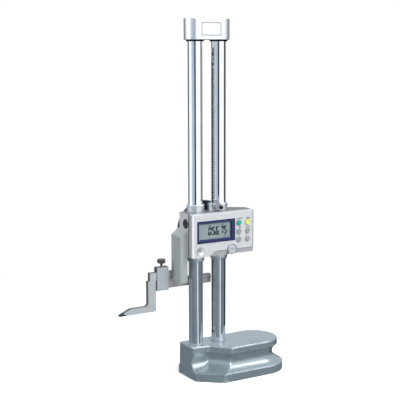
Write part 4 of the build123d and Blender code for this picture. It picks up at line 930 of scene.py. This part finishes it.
def segment_outlines(width, height, stroke, gap):
    """The seven segments of a digit: mitred at the four corners, pointed across the middle."""
    half, inner = height / 2, stroke + gap
    top = np.array(
        [(inner, height - stroke), (width - inner, height - stroke), (width - gap, height), (gap, height)]
    )
    side = np.array(
        [(0, half + gap), (stroke, half + stroke / 2 + gap), (stroke, height - inner), (0, height - gap)]
    )
    middle = np.array(
        [
            (stroke / 2 + gap, half), (inner, half - stroke / 2), (width - inner, half - stroke / 2),
            (width - stroke / 2 - gap, half), (width - inner, half + stroke / 2), (inner, half + stroke / 2),
        ]
    )
    across, down = np.array((width, 0)), np.array((0, height))
    mirrored = across + side[::-1] * (-1, 1)
    return {
        "top": top, "upper_left": side, "upper_right": mirrored, "middle": middle,
        "lower_left": down + side[::-1] * (1, -1), "lower_right": down + mirrored[::-1] * (1, -1),
        "bottom": down + top[::-1] * (1, -1),
    }


def digit_parts(digit, left, display, front, back):
    """The lit segments of one digit as plates, leaning to the right with height."""
    gap = display.stroke * 0.08
    outlines = segment_outlines(display.width, display.height, display.stroke, gap)
    parts = []
    for name, outline in outlines.items():
        if digit in SEGMENTS[name]:
            leaning = outline + outline[:, 1:] * (math.tan(display.slant), 0)
            parts.append(plate_from(leaning + (left, display.bottom), front, back))
    return parts


def thread_surface(x, y, low, high, radius, depth, pitch, around):
    """A screw thread round a vertical line: the radius rises and falls once a pitch, shifted by the turn.

    It fades out over one pitch at each end.
    """
    turns = np.linspace(0, 2 * math.pi, around, endpoint=False)
    heights = np.linspace(low, high, int((high - low) / pitch * 10) + 1)
    height, turn = np.meshgrid(heights, turns, indexing="ij")
    phase = (height / pitch - turn / (2 * math.pi)) % 1.0
    crest = 1 - np.abs(2 * phase - 1)
    fade = np.clip(np.minimum(height - low, high - height) / pitch, 0, 1)
    reach = radius + depth * crest * fade
    return np.stack([x + reach * np.cos(turn), y + reach * np.sin(turn), height], -1)


RIM_POINTS = 72  # points round a key's rim or the socket's dish
DISH_SPAN = (0.97, 0.32)  # where the dish's lining starts and ends, as shares of the dish's radius


def turned_surface(middle, reach, level):
    """A closed section carried once round an axis along Y, from its distances from the axis and its Y."""
    turn = np.linspace(0, 2 * math.pi, RIM_POINTS, endpoint=False)
    reach, angles = np.meshgrid(reach, turn, indexing="ij")
    depth = np.broadcast_to(np.asarray(level)[:, None], reach.shape)
    points = np.stack([middle[0] + reach * np.cos(angles), depth, middle[1] + reach * np.sin(angles)], -1)
    return points.reshape(-1, 3), grid_faces(len(reach), len(turn), close_rows=True)


def dish_surface(middle, front, radius, depth, rings=14):
    """The lining of a dish facing -Y: a thin shell of a sphere with a hole in its middle."""
    ball = (radius**2 + depth**2) / (2 * depth)
    inwards = np.linspace(radius * DISH_SPAN[0], radius * DISH_SPAN[1], rings)
    reach = np.concatenate([inwards, inwards[::-1]])
    level = front + depth - ball + np.sqrt(ball**2 - reach**2)
    level[:rings] -= 0.06 * MM
    level[rings:] += 0.02 * MM
    return turned_surface(middle, reach, level)


def rim_surface(middle, front, radius, section):
    """A ring facing -Y: a circle of the section's radius carried round a circle in X and Z."""
    lean = np.linspace(0, 2 * math.pi, 14, endpoint=False)
    return turned_surface(middle, radius + section * np.cos(lean), front + section * np.sin(lean))


def face_radius(name):
    """The radius of a round key at its front face: the widest of its foremost points."""
    mesh = NODES[name].data
    flat = np.zeros(len(mesh.vertices) * 3)
    mesh.vertices.foreach_get("co", flat)
    points = flat.reshape(-1, 3)
    front = points[points[:, 1] < points[:, 1].min() + 0.5 * MM]
    return (front[:, 0].max() - front[:, 0].min()) / 2


def face_of(name, x, z, fallback):
    """The lowest Y of a node's surface over a place in X and Z, found by a ray along +Y."""
    obj = NODES[name]
    hit, place, _normal, _face = obj.ray_cast((x, -1.0, z), (0, 1, 0))
    return place[1] if hit else fallback


CAPITAL = 0.69  # height of a capital letter in the built-in font, as a share of its size
BOLDER = 0.03  # how far a letter's outline is thickened, as the same share


def lettering(name, text, middle, bottom, height, front, film, material, body):
    """Text that faces -Y, made a mesh, scaled to a letter height and centred on middle."""
    curve = bpy.data.curves.new(name, "FONT")
    curve.body = text
    curve.align_x = "CENTER"
    curve.resolution_u = 3
    curve.offset = BOLDER
    source = bpy.data.objects.new(name + "_source", curve)
    bpy.context.scene.collection.objects.link(source)
    bpy.context.view_layer.update()
    mesh = bpy.data.meshes.new_from_object(source.evaluated_get(bpy.context.evaluated_depsgraph_get()))
    bpy.data.objects.remove(source)
    bpy.data.curves.remove(curve)
    flat = np.zeros(len(mesh.vertices) * 3)
    mesh.vertices.foreach_get("co", flat)
    flat = flat.reshape(-1, 3)
    scale = height / CAPITAL
    points = np.column_stack(
        [middle + flat[:, 0] * scale, np.full(len(flat), front), bottom + flat[:, 1] * scale]
    )
    mesh.vertices.foreach_set("co", points.ravel())
    mesh.update()
    mesh.materials.clear()
    mesh.materials.append(material)
    mesh.name = name
    piece = bpy.data.objects.new(name, mesh)
    bpy.context.scene.collection.objects.link(piece)
    thick = piece.modifiers.new("Ink", "SOLIDIFY")
    thick.thickness = film
    thick.offset = 0
    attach(piece, body)
    return piece


# ---------------------------------------------------------------- operators
# Nodes whose look differs from that of their slot.
OWN_LOOKS = {
    "foot_rings": "ring_steel",
    "rack_keeper": "ring_steel",
    # The rack's look is painted shade with a painted highlight strip.
    "rack": "rack_steel",
    # The clamp screw's blackened head also stands in for the painted shade in its hex socket.
    "clamp_screw": "dark_screws",
}
# Left, right, lower and upper edges of the small marks on the display, in millimetres.
MARKS = (
    (-13.9, -12.5, 218.4, 219.4),
    (-12.1, -10.7, 218.4, 219.4),
    (-10.3, -8.9, 218.4, 219.4),
    (7.4, 8.8, 218.4, 219.4),
    (9.3, 10.9, 218.4, 219.4),
    (12.2, 14.6, 202.1, 203.2),
)
# Words of the key captions, with the middle and the lower edge of each in millimetres.
CAPTIONS = {
    "caption_power": ("ON/OFF", 36.2, 223.9),
    "caption_zero": ("ZERO", 50.2, 223.8),
    "caption_set": ("SET", 36.6, 211.5),
    "caption_unit": ("mm/in", 50.2, 211.4),
}
HOLD_CAPTION = ("HOLD", 23.6, 182.7)
CAPTION_SPOT = (36.0, 229.0)  # a bare place on the case's front, over which the captions' depth is found
SMALL_CORNER = (0.2 * MM, 4)  # radius and points of the corners of small pieces
MARK_CORNER = (0.25 * MM, 4)
ROUND_KEYS = [f"key_{row}_{side}" for row in ("top", "middle", "bottom") for side in ("left", "right")]


class GAUGE_OT_paint(bpy.types.Operator):
    """Enamel on the base and paint on the slider casting and the jaw arm"""

    bl_idname = "gauge.paint"
    bl_label = "Painted castings"

    def execute(self, context):
        looks = paint_looks(context.scene.gauge_colours)
        give_finish(set(looks), looks)
        return {"FINISHED"}


class GAUGE_OT_steel(bpy.types.Operator):
    """Chromed columns, ground bars, turned bushes and blackened screws"""

    bl_idname = "gauge.steel"
    bl_label = "Metal finishes"

    def execute(self, context):
        looks = steel_looks()
        own = {name: finish("finish_" + name, **looks.pop(name)) for name in ("ring_steel", "rack_steel")}
        made = give_finish(set(looks), looks) | own
        for name, look in OWN_LOOKS.items():
            for place in NODES[name].material_slots:
                place.material = made[look]
        return {"FINISHED"}


class GAUGE_OT_moulded(bpy.types.Operator):
    """Plastic, rubber and glass of the case, the keys, the display and the wheel"""

    bl_idname = "gauge.moulded"
    bl_label = "Moulded pieces"

    def execute(self, context):
        looks = moulded_looks(context.scene.gauge_colours)
        packed = {slot_of(place.material) for obj in NODES.values() for place in obj.material_slots}
        give_finish(set(looks) & packed, looks)
        return {"FINISHED"}


class GAUGE_OT_reading(bpy.types.Operator):
    """Digits and small marks of the liquid crystal display"""

    bl_idname = "gauge.reading"
    bl_label = "Display reading"

    def execute(self, context):
        display = context.scene.gauge_display
        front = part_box("display_panel")[0][1] - display.lift
        back = front + display.film
        parts, left, low = [], display.left, display.bottom
        for sign in display.reading:
            if sign == ".":
                start = left - display.point_overlap
                spot = round_rectangle(
                    start, start + display.point_width, low, low + display.point_height, *SMALL_CORNER
                )
                parts.append(plate_from(spot, front, back))
                left += display.point_pitch
                continue
            if sign not in "0123456789":
                raise RuntimeError(f"the display can't show {sign!r}")
            parts += digit_parts(sign, left, display, front, back)
            left += display.pitch
        material = need_material("crystal_dark", context.scene.gauge_colours)
        digits = add_piece("display_digits", *combine(parts), material, "slider")
        outlines = [round_rectangle(*(edge * MM for edge in mark), *MARK_CORNER) for mark in MARKS]
        marks = [plate_from(outline, front, back) for outline in outlines]
        small = add_piece("display_marks", *combine(marks), material, "slider")
        return {"FINISHED"}


class GAUGE_OT_bezel(bpy.types.Operator):
    """Lighter band round the display and the pale line along its left side"""

    bl_idname = "gauge.bezel"
    bl_label = "Bezel band"

    def execute(self, context):
        colours, trim = context.scene.gauge_colours, context.scene.gauge_trim
        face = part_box("display_bezel")[0][1]
        outer = round_rectangle(
            trim.band_left, trim.band_right, trim.band_bottom, trim.band_top, trim.band_corner
        )
        inner = round_rectangle(
            trim.pane_left, trim.pane_right, trim.pane_bottom, trim.pane_top, trim.pane_corner
        )
        band = frame_between(outer, inner, face - trim.band_film, face)
        piece = add_piece("bezel_band", *band, need_material("bezel_band", colours), "slider")
        left, inset = trim.pane_left - trim.lip_lap, 2 * trim.lip_lap
        lip = round_rectangle(
            left, left + trim.lip_width, trim.pane_bottom + inset, trim.pane_top - inset, *SMALL_CORNER
        )
        strip = plate_from(lip, face - trim.lip_film, face)
        line = add_piece("bezel_lip", *strip, need_material("lip_lavender", colours), "slider")
        return {"FINISHED"}


class GAUGE_OT_rims(bpy.types.Operator):
    """Raised rims round the keys and the hold key"""

    bl_idname = "gauge.rims"
    bl_label = "Key rims"

    def execute(self, context):
        colours, trim = context.scene.gauge_colours, context.scene.gauge_trim
        rims = [self.rim(name, trim.key_gap, trim.key_rim) for name in ROUND_KEYS]
        rims.append(self.rim("hold_key", trim.hold_gap, trim.hold_rim))
        # Their finish paints shade on each rim's left side and a highlight on its right side.
        material = need_material("rim_satin", colours)
        piece = add_piece("key_rims", *combine(rims), material, "slider", smooth=True)
        middle, front = (trim.dish_x, trim.dish_z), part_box("display_case")[0][1]
        lining = dish_surface(middle, front, trim.dish_radius, trim.dish_depth)
        satin = need_material("dish_satin", colours)
        dish = add_piece("socket_dish", *lining, satin, "slider", smooth=True)
        return {"FINISHED"}

    def rim(self, name, gap, section):
        """The rim of one key, let into the case's front beside the key."""
        low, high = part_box(name)
        middle = ((low[0] + high[0]) / 2, (low[2] + high[2]) / 2)
        radius = face_radius(name) + gap
        front = face_of("display_case", middle[0] - radius, middle[1], low[1])
        return rim_surface(middle, front, radius, section)


class GAUGE_OT_joint(bpy.types.Operator):
    """Dark strip in the joint between the case and the casting: painted shade for the shadow in the groove
    there
    """

    bl_idname = "gauge.joint"
    bl_label = "Joint strip"

    def execute(self, context):
        trim = context.scene.gauge_trim
        low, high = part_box("display_case")
        outline, inner = (
            round_rectangle(low[0] + inset, high[0] - inset, low[2] + inset, high[2] - inset, *SMALL_CORNER)
            for inset in (-trim.joint_proud, trim.joint_wall)
        )
        strip = frame_between(outline, inner, high[1] - trim.joint_front, high[1] + trim.joint_back)
        # A near-black strip round the joint: painted shade for the shadow in the groove there.
        material = need_material("joint_rubber", context.scene.gauge_colours)
        add_piece("case_joint", *strip, material, "slider")
        return {"FINISHED"}


class GAUGE_OT_captions(bpy.types.Operator):
    """Plain captions over the keys"""

    bl_idname = "gauge.captions"
    bl_label = "Key captions"

    def execute(self, context):
        printing = context.scene.gauge_printing
        material = need_material("ink_dark", context.scene.gauge_colours)
        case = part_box("display_case")[0][1]
        front = face_of("display_case", CAPTION_SPOT[0] * MM, CAPTION_SPOT[1] * MM, case)
        height, film = printing.letter, printing.film
        for name, (text, middle, bottom) in CAPTIONS.items():
            piece = lettering(name, text, middle * MM, bottom * MM, height, front, film, material, "slider")
        text, middle, bottom = (HOLD_CAPTION[0], HOLD_CAPTION[1] * MM, HOLD_CAPTION[2] * MM)
        height, front = printing.hold_letter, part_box("hold_key")[0][1]
        piece = lettering("caption_hold", text, middle, bottom, height, front, film, material, "hold_key")
        return {"FINISHED"}


class GAUGE_OT_plate(bpy.types.Operator):
    """Bare foil plate with a printed border on the front of the cap"""

    bl_idname = "gauge.plate"
    bl_label = "Cap plate"

    def execute(self, context):
        printing = context.scene.gauge_printing
        colours = context.scene.gauge_colours
        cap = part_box("top_cap")[0][1]
        face = cap - printing.plate_film

        def outline(inset, corner):
            """The plate's outline, drawn in by an inset."""
            return round_rectangle(
                printing.plate_left + inset, printing.plate_right - inset,
                printing.plate_bottom + inset, printing.plate_top - inset, corner,
            )

        plate = plate_from(outline(0, printing.plate_corner), face, cap, printing.plate_chamfer)
        foil = add_piece("cap_plate", *plate, need_material("plate_foil", colours), "stand")
        inset = printing.border_inset
        outer = outline(inset, printing.plate_corner - 0.2 * MM)
        inner = outline(inset + printing.border_width, printing.plate_corner - 0.6 * MM)
        ring = frame_between(outer, inner, face - printing.film, face)
        border = add_piece("cap_plate_border", *ring, need_material("ink_grey", colours), "stand")
        return {"FINISHED"}


class GAUGE_OT_threads(bpy.types.Operator):
    """Screw thread on the stem of the thumb screw"""

    bl_idname = "gauge.threads"
    bl_label = "Thumb screw thread"

    def execute(self, context):
        thread = context.scene.gauge_threads
        low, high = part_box("thumb_screw")
        x, y = (low[0] + high[0]) / 2, (low[1] + high[1]) / 2
        surface = thread_surface(
            x, y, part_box("clamp_box")[1][2] + thread.gap, high[2] - thread.head, thread.root, thread.depth,
            thread.pitch, thread.around,
        )
        material = bpy.data.materials.get("finish_thumb_steel")
        if material is None:
            raise RuntimeError("the metal finishes come before the thread")
        piece = add_piece("thumb_thread", *solid_of_rings(surface), material, "thumb_screw", smooth=True)
        return {"FINISHED"}


class GAUGE_OT_stage(bpy.types.Operator):
    """Pale floor, soft studio light and the camera"""

    bl_idname = "gauge.stage"
    bl_label = "Studio"

    def execute(self, context):
        stage = context.scene.gauge_stage
        make_camera(context.scene, stage)
        make_room(context.scene, stage)
        make_floor(context.scene, stage)
        make_softboxes(context.scene, stage)
        context.scene.view_settings.view_transform = "Standard"
        return {"FINISHED"}


def sight(stage):
    """Unit vectors ahead, to the right and up of the camera, before its roll."""
    azimuth, pitch = stage.azimuth, stage.pitch
    ahead = np.array(
        [math.sin(azimuth) * math.cos(pitch), math.cos(azimuth) * math.cos(pitch), -math.sin(pitch)]
    )
    right = np.array([math.cos(azimuth), -math.sin(azimuth), 0.0])
    return ahead, right, np.cross(right, ahead)


def axes_matrix(side, top, back, place):
    """The matrix of a lamp or camera from the directions of its own axes and its place."""
    matrix = Matrix.Identity(4)
    for row in range(3):
        matrix[row][0], matrix[row][1], matrix[row][2] = side[row], top[row], back[row]
        matrix[row][3] = place[row]
    return matrix


SENSOR_WIDTH = 36  # millimetres
SIGHT_END = 100  # metres


def make_camera(scene, stage):
    """The camera, turned to its pitch, azimuth and roll."""
    ahead, right, up = sight(stage)
    side = math.cos(stage.roll) * right + math.sin(stage.roll) * up
    top = -math.sin(stage.roll) * right + math.cos(stage.roll) * up
    data = bpy.data.cameras.new("camera")
    data.sensor_width = SENSOR_WIDTH
    data.lens = stage.lens
    data.clip_end = SIGHT_END
    camera = bpy.data.objects.new("camera", data)
    camera.matrix_world = axes_matrix(side, top, -ahead, stage.place)
    scene.collection.objects.link(camera)
    scene.camera = camera


def turn_ramp(tree, direction, stage, stops):
    """Colours by the turn from the camera's side, to the right, from -180 to 180 degrees."""
    _ahead, right, _up = sight(stage)
    towards = (-math.sin(stage.azimuth), -math.cos(stage.azimuth), 0)
    turn = maths(
        tree,
        "ARCTAN2",
        vectors(tree, "DOT_PRODUCT", direction, tuple(right)),
        vectors(tree, "DOT_PRODUCT", direction, towards),
    )
    share = maths(tree, "MULTIPLY_ADD", turn, 0.5 / math.pi, 0.5)
    ramp = node(tree, "ValToRGB", {0: share})
    ramp.color_ramp.interpolation = "LINEAR"
    while len(ramp.color_ramp.elements) > 1:
        ramp.color_ramp.elements.remove(ramp.color_ramp.elements[-1])
    for count, (degrees, colour) in enumerate(stops):
        place = (degrees + 180) / 360
        if count == 0:
            element = ramp.color_ramp.elements[0]
            element.position = place
        else:
            element = ramp.color_ramp.elements.new(place)
        element.color = opaque(colour)
    return ramp.outputs["Color"]


WHITE = (1.0, 1.0, 1.0)
SHADE = (0.105, 0.115, 0.115)
NAVY = (0.003, 0.005, 0.012)
MAUVE = (0.060, 0.062, 0.066)
# What polished surfaces see of the room, by the turn in degrees from the camera's side to the right.
ROOM_STOPS = (
    (-180, SHADE), (-112, SHADE), (-104, WHITE), (-62, WHITE),
    (-52, (0.54, 0.58, 0.64)), (-30, (0.44, 0.50, 0.58)), (-11, (0.40, 0.45, 0.54)),
    (-7, NAVY), (11, NAVY), (14, WHITE), (92, WHITE),
    (98, MAUVE), (130, MAUVE), (180, (0.14, 0.135, 0.145)),
)
# What matt surfaces get from it.
SOFT_STOPS = (
    (-180, (0.35, 0.36, 0.38)), (-120, (0.55, 0.57, 0.60)), (-60, (0.93, 0.96, 1.0)),
    (0, (0.97, 0.98, 1.0)), (60, (0.97, 0.98, 1.0)),
    (110, (0.45, 0.46, 0.48)), (180, (0.35, 0.36, 0.38)),
)
TABLE = (0.19, 0.215, 0.250)
EDGE = (0.020, 0.023, 0.030)
STREAK = (0.92, 0.96, 1.0)
# What polished surfaces see of the floor.
FLOOR_STOPS = (
    (-180, EDGE), (-150, EDGE), (-132, TABLE),
    (-60, (0.25, 0.28, 0.33)), (-48, (0.13, 0.15, 0.18)), (-38, TABLE),
    (4, (0.24, 0.29, 0.34)), (20, (0.24, 0.29, 0.34)), (24, STREAK), (36, STREAK),
    (40, TABLE), (98, TABLE), (112, EDGE), (180, EDGE),
)
CEILING = (0.56, 0.61, 0.67)  # the room over its bands, to polished surfaces
SOFT_CEILING = (0.36, 0.38, 0.41)  # the same to matt surfaces
CEILING_RISE = (0.03, 0.12)  # sines of the height over which the bands turn into the ceiling
SOFT_RISE = (0.15, 0.90)  # the same for matt surfaces
POLISHED_STRENGTH = 1.2  # of the room in polished surfaces
FLOOR_TONES = ((0.93, 0.935, 0.94), (0.96, 0.965, 0.97))  # of the mottled floor
FLOOR_LIFT = 0.30  # light that the floor gives off of its own
FLOOR_BOUNCE = (0.28, 0.29, 0.30)  # the floor's colour to matt surfaces
FLOOR_WHITE = (0.16, 0.75)  # metres from the origin over which the floor turns white to the camera
FLOOR_CLEAR = (0.95, 1.45)  # metres over which it turns clear to polished surfaces
FLOOR_POINTS = 96  # points round the floor
FLOOR_RINGS = (2.0, 0.5)  # radii of the rings within the floor's edge, in metres
FLOOR_DROP = 0.0002  # metres from the foot of the gauge down to the floor


def make_room(scene, stage):
    """The room: white to the camera, soft to matt surfaces, and in upright bands to polished ones."""
    world = bpy.data.worlds.new("room")
    world.use_nodes = True
    tree = world.node_tree
    tree.nodes.clear()
    direction = node(tree, "TexCoord").outputs["Generated"]
    bands = turn_ramp(tree, direction, stage, ROOM_STOPS)
    height = vectors(tree, "DOT_PRODUCT", direction, (0, 0, 1))
    seen = blend_colours(tree, between(tree, height, *CEILING_RISE), bands, opaque(CEILING))
    soft = turn_ramp(tree, direction, stage, SOFT_STOPS)
    spread = blend_colours(tree, between(tree, height, *SOFT_RISE), soft, opaque(SOFT_CEILING))
    path = node(tree, "LightPath").outputs
    even = node(tree, "Background", {"Color": spread, "Strength": stage.ambient})
    polished = node(tree, "Background", {"Color": seen, "Strength": POLISHED_STRENGTH})
    plain = node(tree, "Background", {"Color": opaque(WHITE), "Strength": 1.0})
    inner = node(tree, "MixShader", {0: path["Is Glossy Ray"], 1: even.outputs[0], 2: polished.outputs[0]})
    outer = node(tree, "MixShader", {0: path["Is Camera Ray"], 1: inner.outputs[0], 2: plain.outputs[0]})
    end = node(tree, "OutputWorld")
    tree.links.new(outer.outputs[0], end.inputs["Surface"])
    scene.world = world


def floor_material(stage):
    """Pale to the camera and grey to polished surfaces, which far out see the room through it."""
    material = bpy.data.materials.new("floor_pale")
    material.use_nodes = True
    tree = material.node_tree
    tree.nodes.clear()
    place = object_place(tree)
    path = node(tree, "LightPath").outputs
    mottle = noise(tree, place, 6.0, 3.0)
    pale = blend_colours(tree, mottle, *(opaque(tone) for tone in FLOOR_TONES))
    seen = node(tree, "BsdfDiffuse", {"Color": pale})
    lift = node(tree, "Emission", {"Color": opaque(WHITE), "Strength": FLOOR_LIFT})
    laid = node(tree, "AddShader", {0: seen.outputs[0], 1: lift.outputs[0]})
    white = node(tree, "Emission", {"Color": opaque(WHITE), "Strength": 1.0})
    far = between(tree, vectors(tree, "LENGTH", place), *FLOOR_WHITE)
    shown = node(tree, "MixShader", {0: far, 1: laid.outputs[0], 2: white.outputs[0]})
    bounce = node(tree, "BsdfDiffuse", {"Color": opaque(FLOOR_BOUNCE)})
    bands = turn_ramp(tree, place, stage, FLOOR_STOPS)
    mirrored = node(tree, "Emission", {"Color": bands, "Strength": 1.0})
    away = between(tree, vectors(tree, "LENGTH", place), *FLOOR_CLEAR)
    clear = node(tree, "BsdfTransparent")
    polished = node(tree, "MixShader", {0: away, 1: mirrored.outputs[0], 2: clear.outputs[0]})
    inner = node(tree, "MixShader", {0: path["Is Glossy Ray"], 1: bounce.outputs[0], 2: polished.outputs[0]})
    outer = node(tree, "MixShader", {0: path["Is Camera Ray"], 1: inner.outputs[0], 2: shown.outputs[0]})
    end = node(tree, "OutputMaterial")
    tree.links.new(outer.outputs[0], end.inputs["Surface"])
    return material


def make_floor(scene, stage):
    """A round floor: rings of points about the origin, closed by a face in the middle."""
    turns = np.linspace(0, 2 * math.pi, FLOOR_POINTS, endpoint=False)
    radii = np.array([stage.floor_radius, *FLOOR_RINGS])
    radius, turn = np.meshgrid(radii, turns, indexing="ij")
    points = np.stack([radius * np.cos(turn), radius * np.sin(turn), np.full_like(turn, -FLOOR_DROP)], -1)
    faces = grid_faces(len(radii), FLOOR_POINTS)
    faces.append(list(range(len(FLOOR_RINGS) * FLOOR_POINTS, len(radii) * FLOOR_POINTS)))
    mesh = bpy.data.meshes.new("floor")
    mesh.from_pydata(points.reshape(-1, 3).tolist(), [], faces)
    mesh.materials.append(floor_material(stage))
    floor = bpy.data.objects.new("floor", mesh)
    scene.collection.objects.link(floor)


# Each softbox: the setting that holds its power, its two sizes and its place, in metres.
SOFTBOXES = {
    "softbox_front": ("key", (1.6, 1.1), (0.25, -1.75, 1.45)),
    "softbox_streak": ("streak", (1.1, 0.45), (1.20, -0.62, 1.70)),
    "softbox_left": ("fill", (1.3, 1.3), (-1.9, 0.25, 1.25)),
    "softbox_top": ("top", (1.5, 1.5), (0.1, 0.2, 2.3)),
}
AIM = (0.02, 0.0, 0.2)  # the point that every softbox faces


def make_softboxes(scene, stage):
    """Four softboxes: a wide and a narrow one in front, one on the left, and one overhead."""
    for name, (setting, size, place) in SOFTBOXES.items():
        data = bpy.data.lights.new(name, "AREA")
        data.shape = "RECTANGLE"
        data.size, data.size_y = size
        data.energy = getattr(stage, setting)
        lamp = bpy.data.objects.new(name, data)
        away = np.array(place) - AIM
        back = away / np.linalg.norm(away)
        side = np.cross((0.0, 1.0, 0.0) if abs(back[2]) > 0.95 else (0.0, 0.0, 1.0), back)
        side /= np.linalg.norm(side)
        up = np.cross(back, side)
        lamp.matrix_world = axes_matrix(side, up, back, place)
        scene.collection.objects.link(lamp)


# ---------------------------------------------------------------- the add-on
class GAUGE_PT_sidebar(bpy.types.Panel):
    """Steps that dress the height gauge, in order"""

    bl_idname = "GAUGE_PT_sidebar"
    bl_label = "Height gauge"
    bl_space_type = "VIEW_3D"
    bl_region_type = "UI"
    bl_category = "Gauge"

    def draw(self, context):
        for step in STEPS:
            self.layout.operator(step.bl_idname)
        for group in GROUPS:
            settings = getattr(context.scene, group)
            box = self.layout.box()
            for name in settings.__annotations__:
                box.prop(settings, name)


GROUPS = {
    "gauge_colours": GAUGE_PG_colours,
    "gauge_display": GAUGE_PG_display,
    "gauge_trim": GAUGE_PG_trim,
    "gauge_printing": GAUGE_PG_printing,
    "gauge_threads": GAUGE_PG_threads,
    "gauge_stage": GAUGE_PG_stage,
}
STEPS = (
    GAUGE_OT_paint,
    GAUGE_OT_steel,
    GAUGE_OT_moulded,
    GAUGE_OT_reading,
    GAUGE_OT_bezel,
    GAUGE_OT_rims,
    GAUGE_OT_joint,
    GAUGE_OT_captions,
    GAUGE_OT_plate,
    GAUGE_OT_threads,
    GAUGE_OT_stage,
)


def register():
    for cls in (*GROUPS.values(), *STEPS, GAUGE_PT_sidebar):
        bpy.utils.register_class(cls)
    for name, cls in GROUPS.items():
        setattr(bpy.types.Scene, name, PointerProperty(type=cls))


def unregister():
    for name in GROUPS:
        delattr(bpy.types.Scene, name)
    for cls in (GAUGE_PT_sidebar, *reversed(STEPS), *GROUPS.values()):
        bpy.utils.unregister_class(cls)


def main():
    register()
    for step in STEPS:
        group, name = step.bl_idname.split(".")
        getattr(getattr(bpy.ops, group), name)()


if __name__ == "__main__":
    main()
